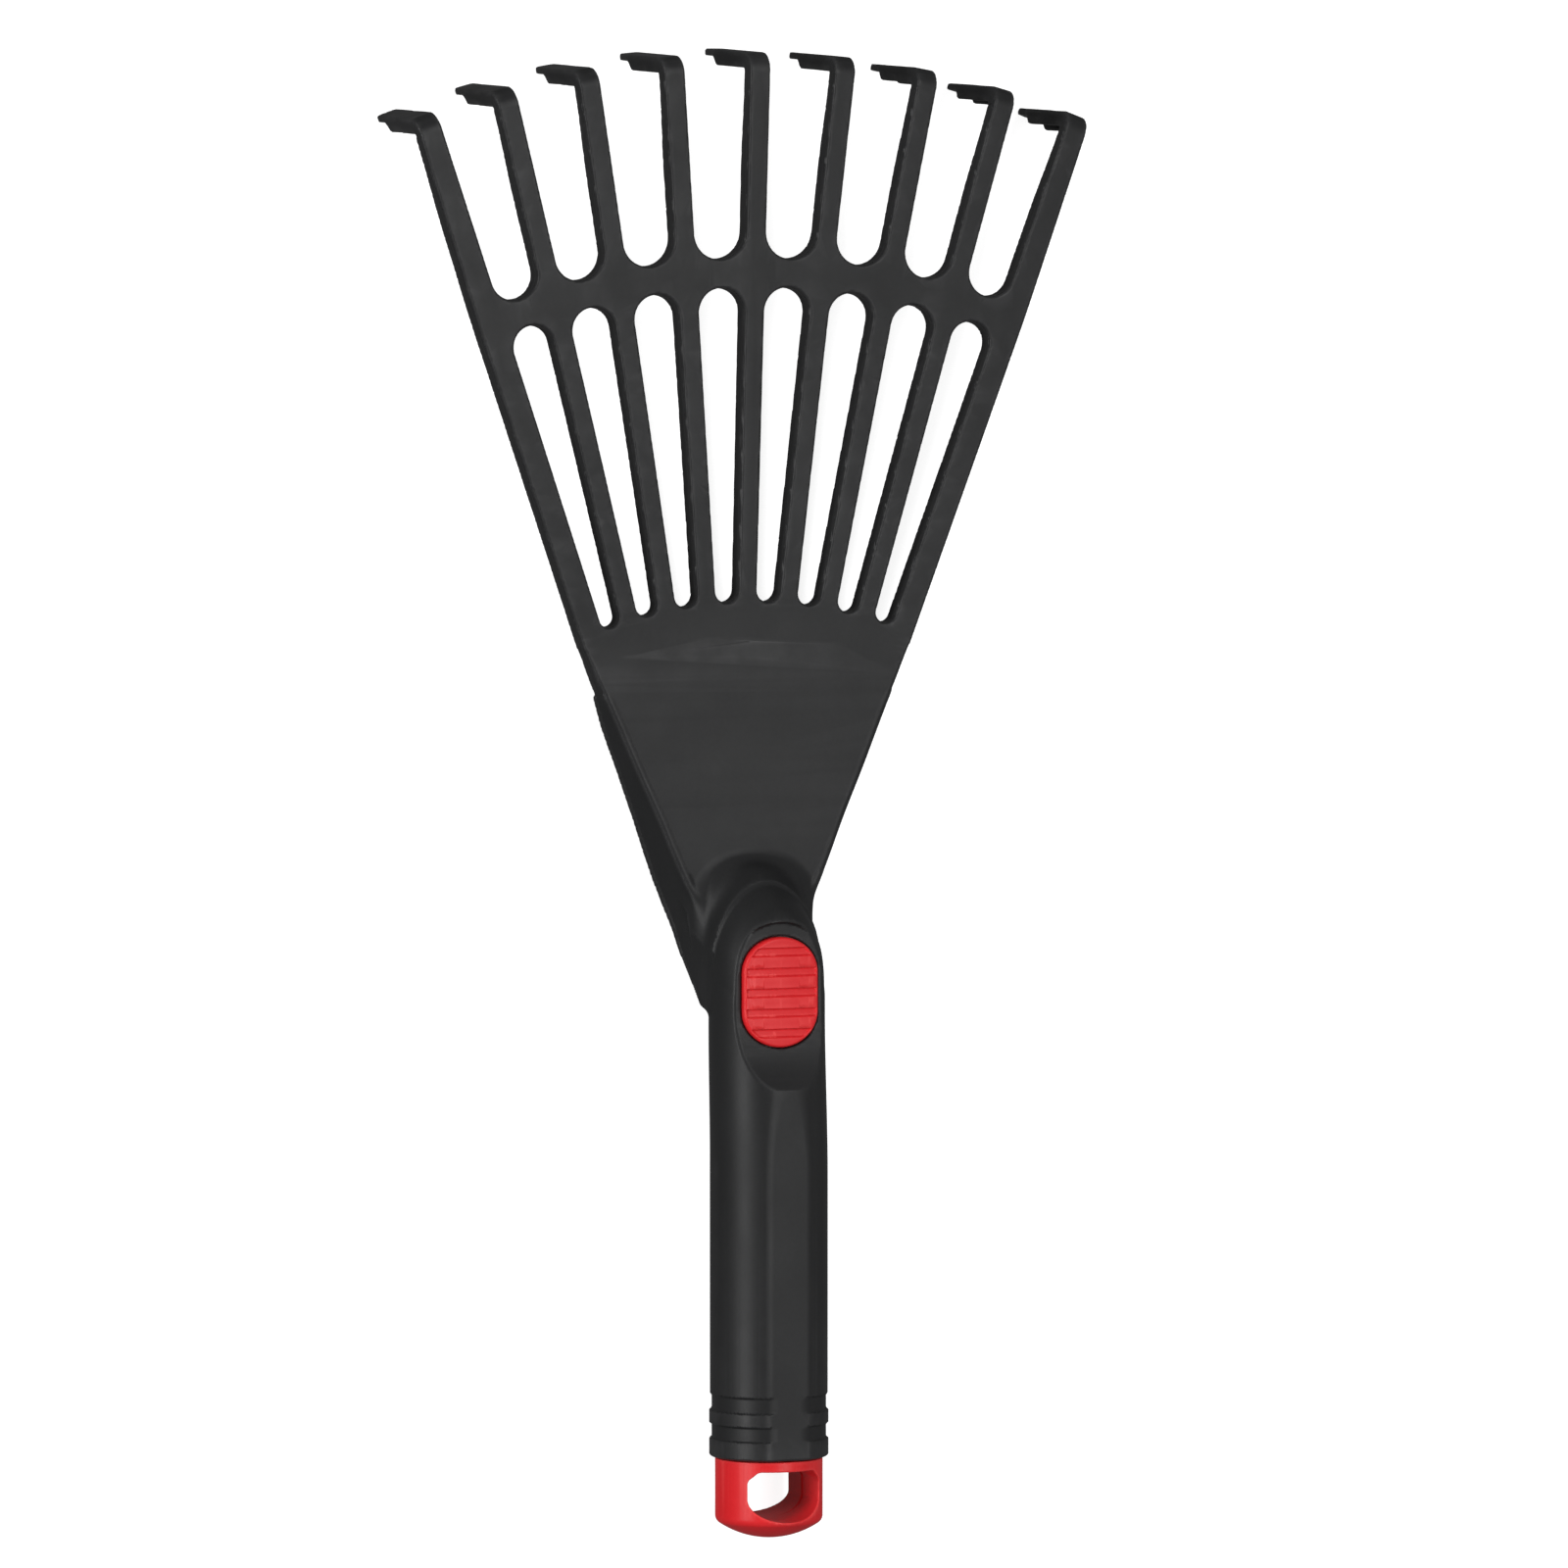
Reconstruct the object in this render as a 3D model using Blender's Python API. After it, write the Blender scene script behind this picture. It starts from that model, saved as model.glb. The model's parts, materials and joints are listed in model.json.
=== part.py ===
"""Click-in hand rake: a nine-tine fan on a hollow grip, a sprung release button and a red end plug.

Everything is laid out in the tool's own frame, in millimetres: +X across the fan, +Y from the end
plug to the tines, +Z out of the front face, with the grip's axis on X = 0, Z = 0. The empty
"rest_frame" turns and lifts that frame so the rake lies on its hook tips and the back of its grip.
The empty "neck_frame" is that frame set back to the neck's own axis, where the grip has bent back.
"""
import math

import bmesh
import bpy
from mathutils import Matrix, Vector

MM = 0.001
GAP = 0.3                      # clearance between neighbouring pieces

# Grip tube
TUBE_RADIUS = 15.65
TUBE_MOUTH_Y = 20.8
BORE_RADIUS = 13.0
BORE_END_Y = 113.0
TANG_HOLE_RADIUS = 6.6
BAND_RADIUS = 15.9             # two raised bands near the mouth
GROOVE_RADIUS = 15.25          # and the two sunk bands above them
BAND_EDGES_Y = (25.7, 29.6, 33.3, 37.4)
BAND_STEP = 0.35
MOUTH_RADIUS = 15.2            # the mouth's rim is eased in from the band
TUBE_SIDES = 48

# Domed neck, where the tube runs out onto the plate
NECK_START_Y = 138.0
NECK_SET_BACK = 1.4            # the grip bends back by this much before the neck
BEND_START_Y = 98.0
NECK_FOOT_Y = 178.6            # where the middle of the neck meets the plate
NECK_RUN = 16.5                # how far the dome leans back from foot to top
NECK_ROLL = 12.5               # and how far it rolls over near the top
NECK_HALF_WIDTH = 16.5
NECK_SHOULDER = 26.0           # how far the neck's sides fall back from its middle
NECK_FOOT_SHARE = 0.55         # share of that fall that is left down at the foot
NECK_RINGS = (1.0, 0.96, 0.88, 0.76, 0.6, 0.4, 0.2)

# Land for the button, and the ramp that leads the thumb onto it
LAND_Z = 8.65
LAND_WALL = 2.25
LAND_TOP_Y = 163.8
LAND_HALF_WIDTH = 14.0
LAND_ROUND = 13.5              # length of the arch's rounded end
RAMP_START_Y = 141.0
RAMP_RADIUS = 36.0

# Button, yoke and spring
BUTTON_Y = 145.2
BUTTON_WIDTH = 21.5
BUTTON_LENGTH = 29.4
BUTTON_END = 9.6               # length of each rounded end
BUTTON_TOP_Z = 10.4
BUTTON_FIT = 0.3
BUTTON_TRAVEL = 3.0
GROOVE_PITCH = 5.4
GROOVE_LENGTH = 2.1
GROOVE_DEPTH = 0.6
GROOVE_COUNT = 5
YOKE_PLATE = 2.2
YOKE_LIP = 0.75                # how far the yoke's plate reaches under the land
YOKE_RING_Y = (132.0, 135.0)
YOKE_RING_HALF_WIDTH = 8.6
YOKE_RING_RADIUS = 12.6        # its lower edge follows the cavity's round wall
YOKE_EYE = (6.4, -5.9, 3.2, 4.5)   # the pole's tang hole: half width, low, high, rounded end
CAVITY_FLOOR_Z = -13.0
CAVITY_START_Y = 118.0
CAVITY_HALF_WIDTH = 11.9
CAVITY_RADIUS = 13.2
CAVITY_ROUND_Y = 150.4         # where the cavity's rounded end begins
CAVITY_ROUND = 11.6
LEG_X = (5.2, 6.8)             # two snap legs hold the yoke under the button
LEG_BARB_X = 7.7
LEG_Y = (140.0, 146.0)
LEG_DROP = 1.9                 # barb length below the yoke's plate
LEG_SLACK = 0.3
SPRING_Y = 153.0
SPRING_SEAT_Z = -12.0
SPRING_RADIUS = 3.9
SPRING_WIRE = 0.9
SPRING_TURNS = 6.5
SPRING_POST_RADIUS = 2.7
SPRING_POST = 3.0

# End plug with the hanging hole
CAP_RADIUS = 14.35
CAP_END_Y = -0.9               # the cap's end is a shallow dome from here to its corner
CAP_CORNER_Y = 3.9
SPIGOT_RADIUS = 12.65
SPIGOT_WALL = 2.0
SPIGOT_END_Y = 45.0
SPIGOT_BEAD = 0.2
SPIGOT_BEAD_Y = (38.0, 39.0, 40.5, 41.5)
HOLE_WIDTH = 20.5
HOLE_LOW_Y = 4.3
HOLE_HIGH_Y = 17.8
HOLE_CHAMFER = 2.4
HOLE_ROUND = 6.0               # height of its rounded lower end

# Fan
FAN_CENTRE_Y = 118.4
TINE_SLOPE = 0.0908            # sideways run per unit along, from one tine to the next
TINE_SIDE_COUNT = 4            # tines on each side of the middle one
PLATE_TOP_R = 125.85
TINE_ROOT_R = 126.15
SLOT_LOW_R = 129.4
SLOT_HIGH_R = 213.6
BAND_HIGH_R = 221.0
SLOT_LOW_ROUND = 3.5           # lengths of the rounded slot ends and of the gaps' round roots
SLOT_HIGH_ROUND = 6.9
GAP_ROUND = 7.2
TINE_TIP_R = 275.5
TINE_WIDTH_LOW = 5.1
TINE_WIDTH_HIGH = 5.8
OUTER_EDGE = (4.1, 4.3, 3.3)   # outermost tines: outer half width at root, band and bend
TINE_THICKNESS = 2.0
RIB_WIDTH = 4.2
RIB_DEPTH = 5.2                # front face to the back of the rib
HOOK_RIB_DEPTH = 4.2
TINE_LEAN = 0.062              # tines lean forward, out of the plate's line
FAN_RADIUS = 1300.0            # the fan is slightly crowned across its width
HOOK_RADIUS = 4.8
HOOK_TURN = math.radians(91.5)
HOOK_REACH = 33.0
HOOK_RIB_STOP = 7.6
HOOK_TIP_CHAMFER = 0.9

# Plate and side walls
PLATE_THICKNESS = 2.2
PLATE_ORIGIN_Y = 176.4
PLATE_ORIGIN_Z = -10.7
PLATE_LEAN = 0.052             # the plate falls back towards the tines
PLATE_EDGE = ((173.0, 19.1), (181.0, 22.7), (190.0, 26.3), (204.0, 32.8), (216.0, 38.0),
              (228.4, 43.5))
FOOT_RADIUS = 18.6             # the plate's lower edge goes round the neck's foot
FOOT_CENTRE_Y = 160.6
PLATE_RIB_WIDTH = 2.2
PLATE_RIB_START = (64.5, 4.6)  # ribs under the plate: radius along the fan and depth at the foot
PLATE_RIB_TINES = (-2, 0, 2)
SIDE_WALL = 1.9
# Side wall stations: Y, then X and Z of its upper edge and of its free rim
WALL_STATIONS = (
    (141.0, 16.3, -5.0, 16.5, -8.5),
    (147.5, 16.4, -5.5, 16.7, -14.5),
    (154.0, 16.7, -7.0, 17.2, -21.0),
    (162.0, 17.4, -10.0, 19.5, -21.4),
    (173.0, 19.1, -13.3, 23.4, -22.0),
    (190.0, 26.3, -14.2, 29.9, -22.2),
    (204.0, 32.8, -14.9, 35.5, -20.8),
    (216.0, 38.0, -15.5, 40.3, -19.8),
    (223.4, 41.3, -15.9, 43.0, -19.0),
)


# ---------------------------------------------------------------- general helpers

def clear_scene():
    for thing in list(bpy.data.objects):
        bpy.data.objects.remove(thing, do_unlink=True)


def make_material(name, colour, roughness, metallic=0.0):
    material = bpy.data.materials.new(name)
    material.use_nodes = True
    shader = material.node_tree.nodes["Principled BSDF"]
    shader.inputs["Base Color"].default_value = (*colour, 1.0)
    shader.inputs["Roughness"].default_value = roughness
    shader.inputs["Metallic"].default_value = metallic
    return material


def make_object(name, mesh_builder, material=None, parent=None):
    """Turn a bmesh in millimetres into an object in metres with outward faces."""
    bmesh.ops.scale(mesh_builder, vec=(MM, MM, MM), verts=mesh_builder.verts)
    bmesh.ops.recalc_face_normals(mesh_builder, faces=mesh_builder.faces)
    mesh = bpy.data.meshes.new(name)
    mesh_builder.to_mesh(mesh)
    mesh_builder.free()
    piece = bpy.data.objects.new(name, mesh)
    bpy.context.scene.collection.objects.link(piece)
    piece.parent = parent
    if parent:
        piece.location.y = -parent.location.y
    if material:
        mesh.materials.append(material)
    return piece


def smooth(piece, angle=30.0):
    piece.data.shade_smooth()
    piece.data.set_sharp_from_angle(angle=math.radians(angle))


def helper(name, mesh_builder, parent):
    """A Boolean operand: seen in the viewport as wire, left out of the part."""
    piece = make_object(name, mesh_builder, parent=parent)
    piece.hide_render = True
    piece.display_type = "WIRE"
    return piece


def combine(piece, other, operation):
    modifier = piece.modifiers.new(f"{operation.lower()} {other.name}", "BOOLEAN")
    modifier.operation = operation
    modifier.solver = "EXACT"
    modifier.object = other


def loft(rings):
    """Skin equal-length rings of points and close both ends."""
    builder = bmesh.new()
    rows = [[builder.verts.new(point) for point in ring] for ring in rings]
    for low, high in zip(rows, rows[1:]):
        for i in range(len(low)):
            j = (i + 1) % len(low)
            builder.faces.new((low[i], low[j], high[j], high[i]))
    builder.faces.new(rows[0])
    builder.faces.new(rows[-1])
    return builder


def prism(outline, low, high, place):
    """Extrude a 2D outline from low to high; place(u, v, w) gives the 3D point."""
    return loft([[place(u, v, w) for u, v in outline] for w in (low, high)])


def plan(x, y, z):
    return Vector((x, y, z))


def profile(y, z, x):
    return Vector((x, y, z))


def section(x, z, y):
    return Vector((x, y, z))


def mix(low, high, share):
    return low + (high - low) * min(max(share, 0.0), 1.0)


def box(low, high):
    outline = [(low[0], low[1]), (high[0], low[1]), (high[0], high[1]), (low[0], high[1])]
    return prism(outline, low[2], high[2], plan)


def arc(centre, radii, start, end, steps):
    """Points of an elliptical arc, angles in degrees."""
    points = []
    for i in range(steps + 1):
        angle = math.radians(start + (end - start) * i / steps)
        points.append((centre[0] + radii[0] * math.cos(angle),
                       centre[1] + radii[1] * math.sin(angle)))
    return points


def lathe_y(outline, sides):
    """Turn (radius, y) points about the Y axis; the first and last points lie on the axis."""
    builder = bmesh.new()
    rows = []
    for radius, y in outline:
        if radius == 0.0:
            rows.append([builder.verts.new((0.0, y, 0.0))])
            continue
        rows.append([builder.verts.new((radius * math.cos(2 * math.pi * i / sides), y,
                                        radius * math.sin(2 * math.pi * i / sides)))
                     for i in range(sides)])
    for low, high in zip(rows, rows[1:]):
        for i in range(sides):
            j = (i + 1) % sides
            corners = [low[i % len(low)], low[j % len(low)], high[j % len(high)], high[i % len(high)]]
            builder.faces.new(list(dict.fromkeys(corners)))
    return builder


def rounded_oblong(half_width, low_y, high_y, end):
    """Outline with straight sides and elliptical ends of the given length."""
    points = arc((0.0, high_y - end), (half_width, end), 0.0, 180.0, 16)
    points += arc((0.0, low_y + end), (half_width, end), 180.0, 360.0, 16)
    return points


# ---------------------------------------------------------------- grip tube

def set_back(y):
    """How far the grip's axis has bent back at y."""
    share = mix(0.0, 1.0, (y - BEND_START_Y) / (NECK_START_Y - BEND_START_Y))
    return NECK_SET_BACK * share * share * (3.0 - 2.0 * share)


def neck_end_y(x, z):
    """Y of the neck's domed end over the point x, z of the tube's section."""
    z = max(z, PLATE_ORIGIN_Z)
    climb = (z - PLATE_ORIGIN_Z) / (TUBE_RADIUS - NECK_SET_BACK - PLATE_ORIGIN_Z)
    middle = NECK_FOOT_Y - NECK_RUN * climb - NECK_ROLL * climb ** 4
    spread = min(abs(x) / NECK_HALF_WIDTH, 1.0)
    shoulder = NECK_SHOULDER * mix(NECK_FOOT_SHARE, 1.0, 2.5 * climb)
    return middle - shoulder * (1.0 - math.sqrt(1.0 - spread * spread))


def tube_outside():
    """The tube as rings of a circle, closed by rings that shrink over the domed end."""
    first, second, third, fourth = BAND_EDGES_Y
    outline = [(MOUTH_RADIUS, TUBE_MOUTH_Y), (BAND_RADIUS, TUBE_MOUTH_Y + 0.7), (BAND_RADIUS, first),
               (GROOVE_RADIUS, first + BAND_STEP), (GROOVE_RADIUS, second),
               (BAND_RADIUS, second + BAND_STEP), (BAND_RADIUS, third),
               (GROOVE_RADIUS, third + BAND_STEP), (GROOVE_RADIUS, fourth),
               (TUBE_RADIUS, fourth + BAND_STEP)]
    outline += [(TUBE_RADIUS, mix(BEND_START_Y, NECK_START_Y, i / 5)) for i in range(6)]
    angles = [2 * math.pi * i / TUBE_SIDES for i in range(TUBE_SIDES)]
    rings = [[Vector((r * math.cos(a), y, r * math.sin(a) - set_back(y))) for a in angles]
             for r, y in outline]
    for share in NECK_RINGS:
        ring = []
        for a in angles:
            x = share * TUBE_RADIUS * math.cos(a)
            z = share * TUBE_RADIUS * math.sin(a) - NECK_SET_BACK
            ring.append(Vector((x, neck_end_y(x, z), z)))
        rings.append(ring)
    return loft(rings)


def scoop_cutter(parent):
    """Land and ramp: everything above them inside the arch round the button."""
    top_z = TUBE_RADIUS + 2.0
    ramp_end = RAMP_RADIUS - (top_z - LAND_Z)
    turn = math.degrees(math.acos(ramp_end / RAMP_RADIUS))
    side = arc((RAMP_START_Y, LAND_Z + RAMP_RADIUS), (RAMP_RADIUS, RAMP_RADIUS), 270.0,
               270.0 - turn, 8)
    side += [(LAND_TOP_Y + 8.0, top_z), (LAND_TOP_Y + 8.0, LAND_Z)]
    scoop = helper("scoop_cutter", prism(side, -20.0, 20.0, profile), parent)
    arch = [(20.0, 100.0), (20.0, LAND_TOP_Y - 20.0)]
    arch += arc((0.0, LAND_TOP_Y - LAND_ROUND), (LAND_HALF_WIDTH, LAND_ROUND), 0.0, 180.0, 24)
    arch += [(-20.0, LAND_TOP_Y - 20.0), (-20.0, 100.0)]
    combine(scoop, helper("scoop_arch", prism(arch, 0.0, 30.0, plan), parent), "INTERSECT")
    return scoop


def bore_cutter(parent):
    outline = [(0.0, 0.0), (BORE_RADIUS + 0.6, 0.0), (BORE_RADIUS + 0.6, TUBE_MOUTH_Y + 0.2),
               (BORE_RADIUS, TUBE_MOUTH_Y + 0.8), (BORE_RADIUS, BORE_END_Y),
               (TANG_HOLE_RADIUS, BORE_END_Y), (TANG_HOLE_RADIUS, CAVITY_START_Y + 1.0),
               (0.0, CAVITY_START_Y + 1.0)]
    return helper("bore_cutter", lathe_y(outline, 32), parent)


def cavity_cutter(parent):
    """Room for the yoke and spring: an oblong pocket that stays inside the tube's wall."""
    outline = [(CAVITY_HALF_WIDTH, CAVITY_START_Y)]
    outline += arc((0.0, CAVITY_ROUND_Y), (CAVITY_HALF_WIDTH, CAVITY_ROUND), 0.0, 180.0, 16)
    outline += [(-CAVITY_HALF_WIDTH, CAVITY_START_Y)]
    pocket = helper("cavity_cutter", prism(outline, CAVITY_FLOOR_Z, LAND_Z - LAND_WALL, plan), parent)
    limit = lathe_y([(0.0, CAVITY_START_Y - 5.0), (CAVITY_RADIUS, CAVITY_START_Y - 5.0),
                     (CAVITY_RADIUS, 175.0), (0.0, 175.0)], 32)
    combine(pocket, helper("cavity_limit", limit, parent), "INTERSECT")
    return pocket


def build_grip_tube(parent, neck, material):
    tube = make_object("grip_tube", tube_outside(), material, parent)
    combine(tube, bore_cutter(parent), "DIFFERENCE")
    combine(tube, cavity_cutter(neck), "DIFFERENCE")
    combine(tube, scoop_cutter(neck), "DIFFERENCE")
    half_length = BUTTON_LENGTH / 2 + BUTTON_FIT
    window = rounded_oblong(BUTTON_WIDTH / 2 + BUTTON_FIT, BUTTON_Y - half_length,
                            BUTTON_Y + half_length, BUTTON_END + BUTTON_FIT)
    opening = helper("button_window", prism(window, 0.0, 20.0, plan), neck)
    combine(tube, opening, "DIFFERENCE")
    post_outline = arc((0.0, SPRING_Y), (SPRING_POST_RADIUS, SPRING_POST_RADIUS), 0.0, 345.0, 23)
    post = prism(post_outline, CAVITY_FLOOR_Z - 1.0, CAVITY_FLOOR_Z + SPRING_POST, plan)
    combine(tube, helper("spring_post", post, neck), "UNION")
    smooth(tube)


# ---------------------------------------------------------------- end plug

def hanging_hole_outline():
    half = HOLE_WIDTH / 2
    outline = arc((0.0, HOLE_LOW_Y + HOLE_ROUND), (half, HOLE_ROUND), 180.0, 360.0, 21)
    outline += [(half, HOLE_HIGH_Y - HOLE_CHAMFER), (half - HOLE_CHAMFER, HOLE_HIGH_Y),
                (HOLE_CHAMFER - half, HOLE_HIGH_Y), (-half, HOLE_HIGH_Y - HOLE_CHAMFER)]
    return outline


def cap_dome():
    """The cap's domed end, from its middle to its corner."""
    rise = CAP_CORNER_Y - CAP_END_Y
    radius = (CAP_RADIUS ** 2 + rise ** 2) / (2 * rise)
    half_turn = math.degrees(math.asin(CAP_RADIUS / radius))
    dome = arc((0.0, CAP_END_Y + radius), (radius, radius), 270.0, 270.0 + half_turn, 8)
    return [(0.0, CAP_END_Y)] + dome[1:]


def build_end_cap(parent, material):
    outline = cap_dome() + [(CAP_RADIUS, TUBE_MOUTH_Y - GAP), (SPIGOT_RADIUS, TUBE_MOUTH_Y - GAP)]
    outline += [(SPIGOT_RADIUS + bead, y)
                for y, bead in zip(SPIGOT_BEAD_Y, (0.0, SPIGOT_BEAD, SPIGOT_BEAD, 0.0))]
    outline += [(SPIGOT_RADIUS - 0.8, SPIGOT_END_Y), (0.0, SPIGOT_END_Y)]
    cap = make_object("end_cap", lathe_y(outline, TUBE_SIDES), material, parent)
    inside = SPIGOT_RADIUS - SPIGOT_WALL
    hollow = lathe_y([(0.0, TUBE_MOUTH_Y + 2.0), (inside, TUBE_MOUTH_Y + 2.0),
                      (inside, SPIGOT_END_Y + 5.0), (0.0, SPIGOT_END_Y + 5.0)], 32)
    combine(cap, helper("spigot_hollow", hollow, parent), "DIFFERENCE")
    hole = prism(hanging_hole_outline(), -20.0, 20.0, plan)
    combine(cap, helper("hanging_hole_cutter", hole, parent), "DIFFERENCE")
    smooth(cap)


# ---------------------------------------------------------------- button, yoke and spring

def button_profile():
    """Side view of the button: a flat block with sawtooth grooves across its top."""
    half = BUTTON_LENGTH / 2 + 1.0
    outline = [(BUTTON_Y - half, LAND_Z - LAND_WALL), (BUTTON_Y - half, BUTTON_TOP_Z)]
    for i in range(GROOVE_COUNT):
        steep = BUTTON_Y + (i - (GROOVE_COUNT - 1) / 2) * GROOVE_PITCH + GROOVE_LENGTH / 2
        outline += [(steep - GROOVE_LENGTH, BUTTON_TOP_Z), (steep - 0.15, BUTTON_TOP_Z - GROOVE_DEPTH),
                    (steep, BUTTON_TOP_Z)]
    outline += [(BUTTON_Y + half, BUTTON_TOP_Z), (BUTTON_Y + half, LAND_Z - LAND_WALL)]
    return outline


def leg_boxes():
    """Two snap legs: a shank through the yoke's plate and a barb below it."""
    floor = LAND_Z - LAND_WALL - GAP - YOKE_PLATE
    inner, outer = LEG_X
    low_y, high_y = LEG_Y
    legs = []
    for side in (-1, 1):
        shank = sorted((side * inner, side * outer))
        barb = sorted((side * inner, side * LEG_BARB_X))
        legs.append(((shank[0], low_y, floor - LEG_DROP), (shank[1], high_y, LAND_Z)))
        legs.append(((barb[0], low_y, floor - LEG_DROP), (barb[1], high_y, floor - GAP)))
    return legs


def build_button(parent, material):
    button = make_object("release_button", prism(button_profile(), -20.0, 20.0, profile),
                         material, parent)
    half = BUTTON_LENGTH / 2
    rim = rounded_oblong(BUTTON_WIDTH / 2, BUTTON_Y - half, BUTTON_Y + half, BUTTON_END)
    body = prism(rim, LAND_Z - LAND_WALL - 1.0, BUTTON_TOP_Z + 1.0, plan)
    combine(button, helper("button_outline", body, parent), "INTERSECT")
    for number, (low, high) in enumerate(leg_boxes()):
        combine(button, helper(f"button_leg_{number}", box(low, high), parent), "UNION")


def yoke_section():
    """The yoke's ring from the end: straight sides, and a lower edge that clears the cavity's
    round wall with the button fully pressed."""
    top = LAND_Z - LAND_WALL - GAP - 1.0
    half_turn = math.degrees(math.asin(YOKE_RING_HALF_WIDTH / YOKE_RING_RADIUS))
    centre = (0.0, BUTTON_TRAVEL)
    radii = (YOKE_RING_RADIUS, YOKE_RING_RADIUS)
    outline = [(-YOKE_RING_HALF_WIDTH, top)]
    outline += arc(centre, radii, 270.0 - half_turn, 270.0 + half_turn, 12)
    return outline + [(YOKE_RING_HALF_WIDTH, top)]


def build_yoke(parent, material):
    top = LAND_Z - LAND_WALL - GAP
    half = BUTTON_LENGTH / 2 + BUTTON_FIT + YOKE_LIP
    outline = rounded_oblong(BUTTON_WIDTH / 2 + BUTTON_FIT + YOKE_LIP - 0.2, BUTTON_Y - half,
                             BUTTON_Y + half, BUTTON_END + BUTTON_FIT + YOKE_LIP)
    yoke = make_object("lock_yoke", prism(outline, top - YOKE_PLATE, top, plan), material, parent)
    low_y, high_y = YOKE_RING_Y
    ring = prism(yoke_section(), low_y, high_y, section)
    combine(yoke, helper("yoke_ring", ring, parent), "UNION")
    tang_hole = prism(rounded_oblong(*YOKE_EYE), low_y - 1.0, high_y + 1.0, section)
    combine(yoke, helper("tang_hole", tang_hole, parent), "DIFFERENCE")
    peg_outline = arc((0.0, SPRING_Y), (SPRING_POST_RADIUS, SPRING_POST_RADIUS), 0.0, 345.0, 23)
    peg = prism(peg_outline, top - YOKE_PLATE - 2.4, top - 1.0, plan)
    combine(yoke, helper("yoke_peg", peg, parent), "UNION")
    for name, side in (("left_leg_slot", -1), ("right_leg_slot", 1)):
        low_x, high_x = sorted((side * (LEG_X[0] - LEG_SLACK), side * (LEG_X[1] + LEG_SLACK)))
        slot = box((low_x, LEG_Y[0] - LEG_SLACK, top - YOKE_PLATE - 2.0),
                   (high_x, LEG_Y[1] + LEG_SLACK, top + 2.0))
        combine(yoke, helper(name, slot, parent), "DIFFERENCE")


def build_spring(parent, material):
    """Compression coil between the post in the tube and the yoke's peg."""
    seat = SPRING_SEAT_Z
    top = LAND_Z - LAND_WALL - GAP - YOKE_PLATE - GAP
    wire = SPRING_WIRE / 2
    steps = int(SPRING_TURNS * 14)
    sides = 8
    rings = []
    for i in range(steps + 1):
        angle = 2 * math.pi * SPRING_TURNS * i / steps
        height = seat + wire + (top - seat - 2 * wire) * i / steps
        outward = Vector((math.cos(angle), math.sin(angle), 0.0))
        centre = Vector((0.0, SPRING_Y, height)) + SPRING_RADIUS * outward
        rings.append([centre + wire * (math.cos(2 * math.pi * s / sides) * outward
                                       + math.sin(2 * math.pi * s / sides) * Vector((0, 0, 1)))
                      for s in range(sides)])
    smooth(make_object("button_spring", loft(rings), material, parent), 60.0)


# ---------------------------------------------------------------- fan plate and side walls

def plate_z(y):
    """Height of the plate's front face, a plane that falls back towards the tines."""
    return PLATE_ORIGIN_Z - PLATE_LEAN * (y - PLATE_ORIGIN_Y)


def plate_outline():
    """Right half from the neck's foot up to the tine roots, then mirrored."""
    foot_angle = math.degrees(math.asin((PLATE_EDGE[0][0] - FOOT_CENTRE_Y) / FOOT_RADIUS))
    foot = arc((0.0, FOOT_CENTRE_Y), (FOOT_RADIUS, FOOT_RADIUS), 90.0, foot_angle, 10)
    outer_turn = math.atan(TINE_SLOPE * TINE_SIDE_COUNT)
    outer_turn += math.atan(OUTER_EDGE[0] / TINE_ROOT_R)
    top = arc((0.0, FAN_CENTRE_Y), (PLATE_TOP_R, PLATE_TOP_R), 90.0 - math.degrees(outer_turn),
              90.0, 12)
    right = foot[1:] + [(x, y) for y, x in PLATE_EDGE] + top
    left = [(-x, y) for x, y in reversed(right[:-1])]
    return [foot[0]] + right + left


def build_fan_plate(parent, material):
    outline = plate_outline()
    front = [Vector((x, y, plate_z(y))) for x, y in outline]
    back = [point - Vector((0.0, 0.0, PLATE_THICKNESS)) for point in front]
    plate = make_object("fan_plate", loft([back, front]), material, parent)
    for number in PLATE_RIB_TINES:
        turn = math.atan(TINE_SLOPE * number)
        along = Vector((math.sin(turn), math.cos(turn), 0.0))
        across = Vector((math.cos(turn), -math.sin(turn), 0.0)) * PLATE_RIB_WIDTH / 2
        rings = []
        for radius, depth in (PLATE_RIB_START, (PLATE_TOP_R - 0.7, RIB_DEPTH)):
            middle = Vector((0.0, FAN_CENTRE_Y, 0.0)) + radius * along
            top_z = plate_z(middle.y) - PLATE_THICKNESS / 2
            low_z = plate_z(middle.y) - depth
            rings.append([Vector((p.x, p.y, z)) for p, z in (
                (middle - across, low_z), (middle + across, low_z),
                (middle + across, top_z), (middle - across, top_z))])
        rib = helper(f"plate_rib_{number + 2}", loft(rings), parent)
        combine(plate, rib, "UNION")


def build_side_wall(name, side, parent, neck, material):
    """Splayed wall from the plate's edge back to a free rim, running down onto the tube."""
    rings = []
    for y, upper_x, upper_z, rim_x, rim_z in WALL_STATIONS:
        rings.append([Vector((side * x, y, z)) for x, z in (
            (upper_x, upper_z), (rim_x, rim_z), (rim_x - SIDE_WALL, rim_z),
            (upper_x - SIDE_WALL, upper_z))])
    wall = make_object(name, loft(rings), material, parent)
    clear = lathe_y([(0.0, 120.0), (TUBE_RADIUS + GAP, 120.0), (TUBE_RADIUS + GAP, 190.0),
                     (0.0, 190.0)], TUBE_SIDES)
    combine(wall, helper(f"{name}_clearance", clear, neck), "DIFFERENCE")


# ---------------------------------------------------------------- tines

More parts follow.
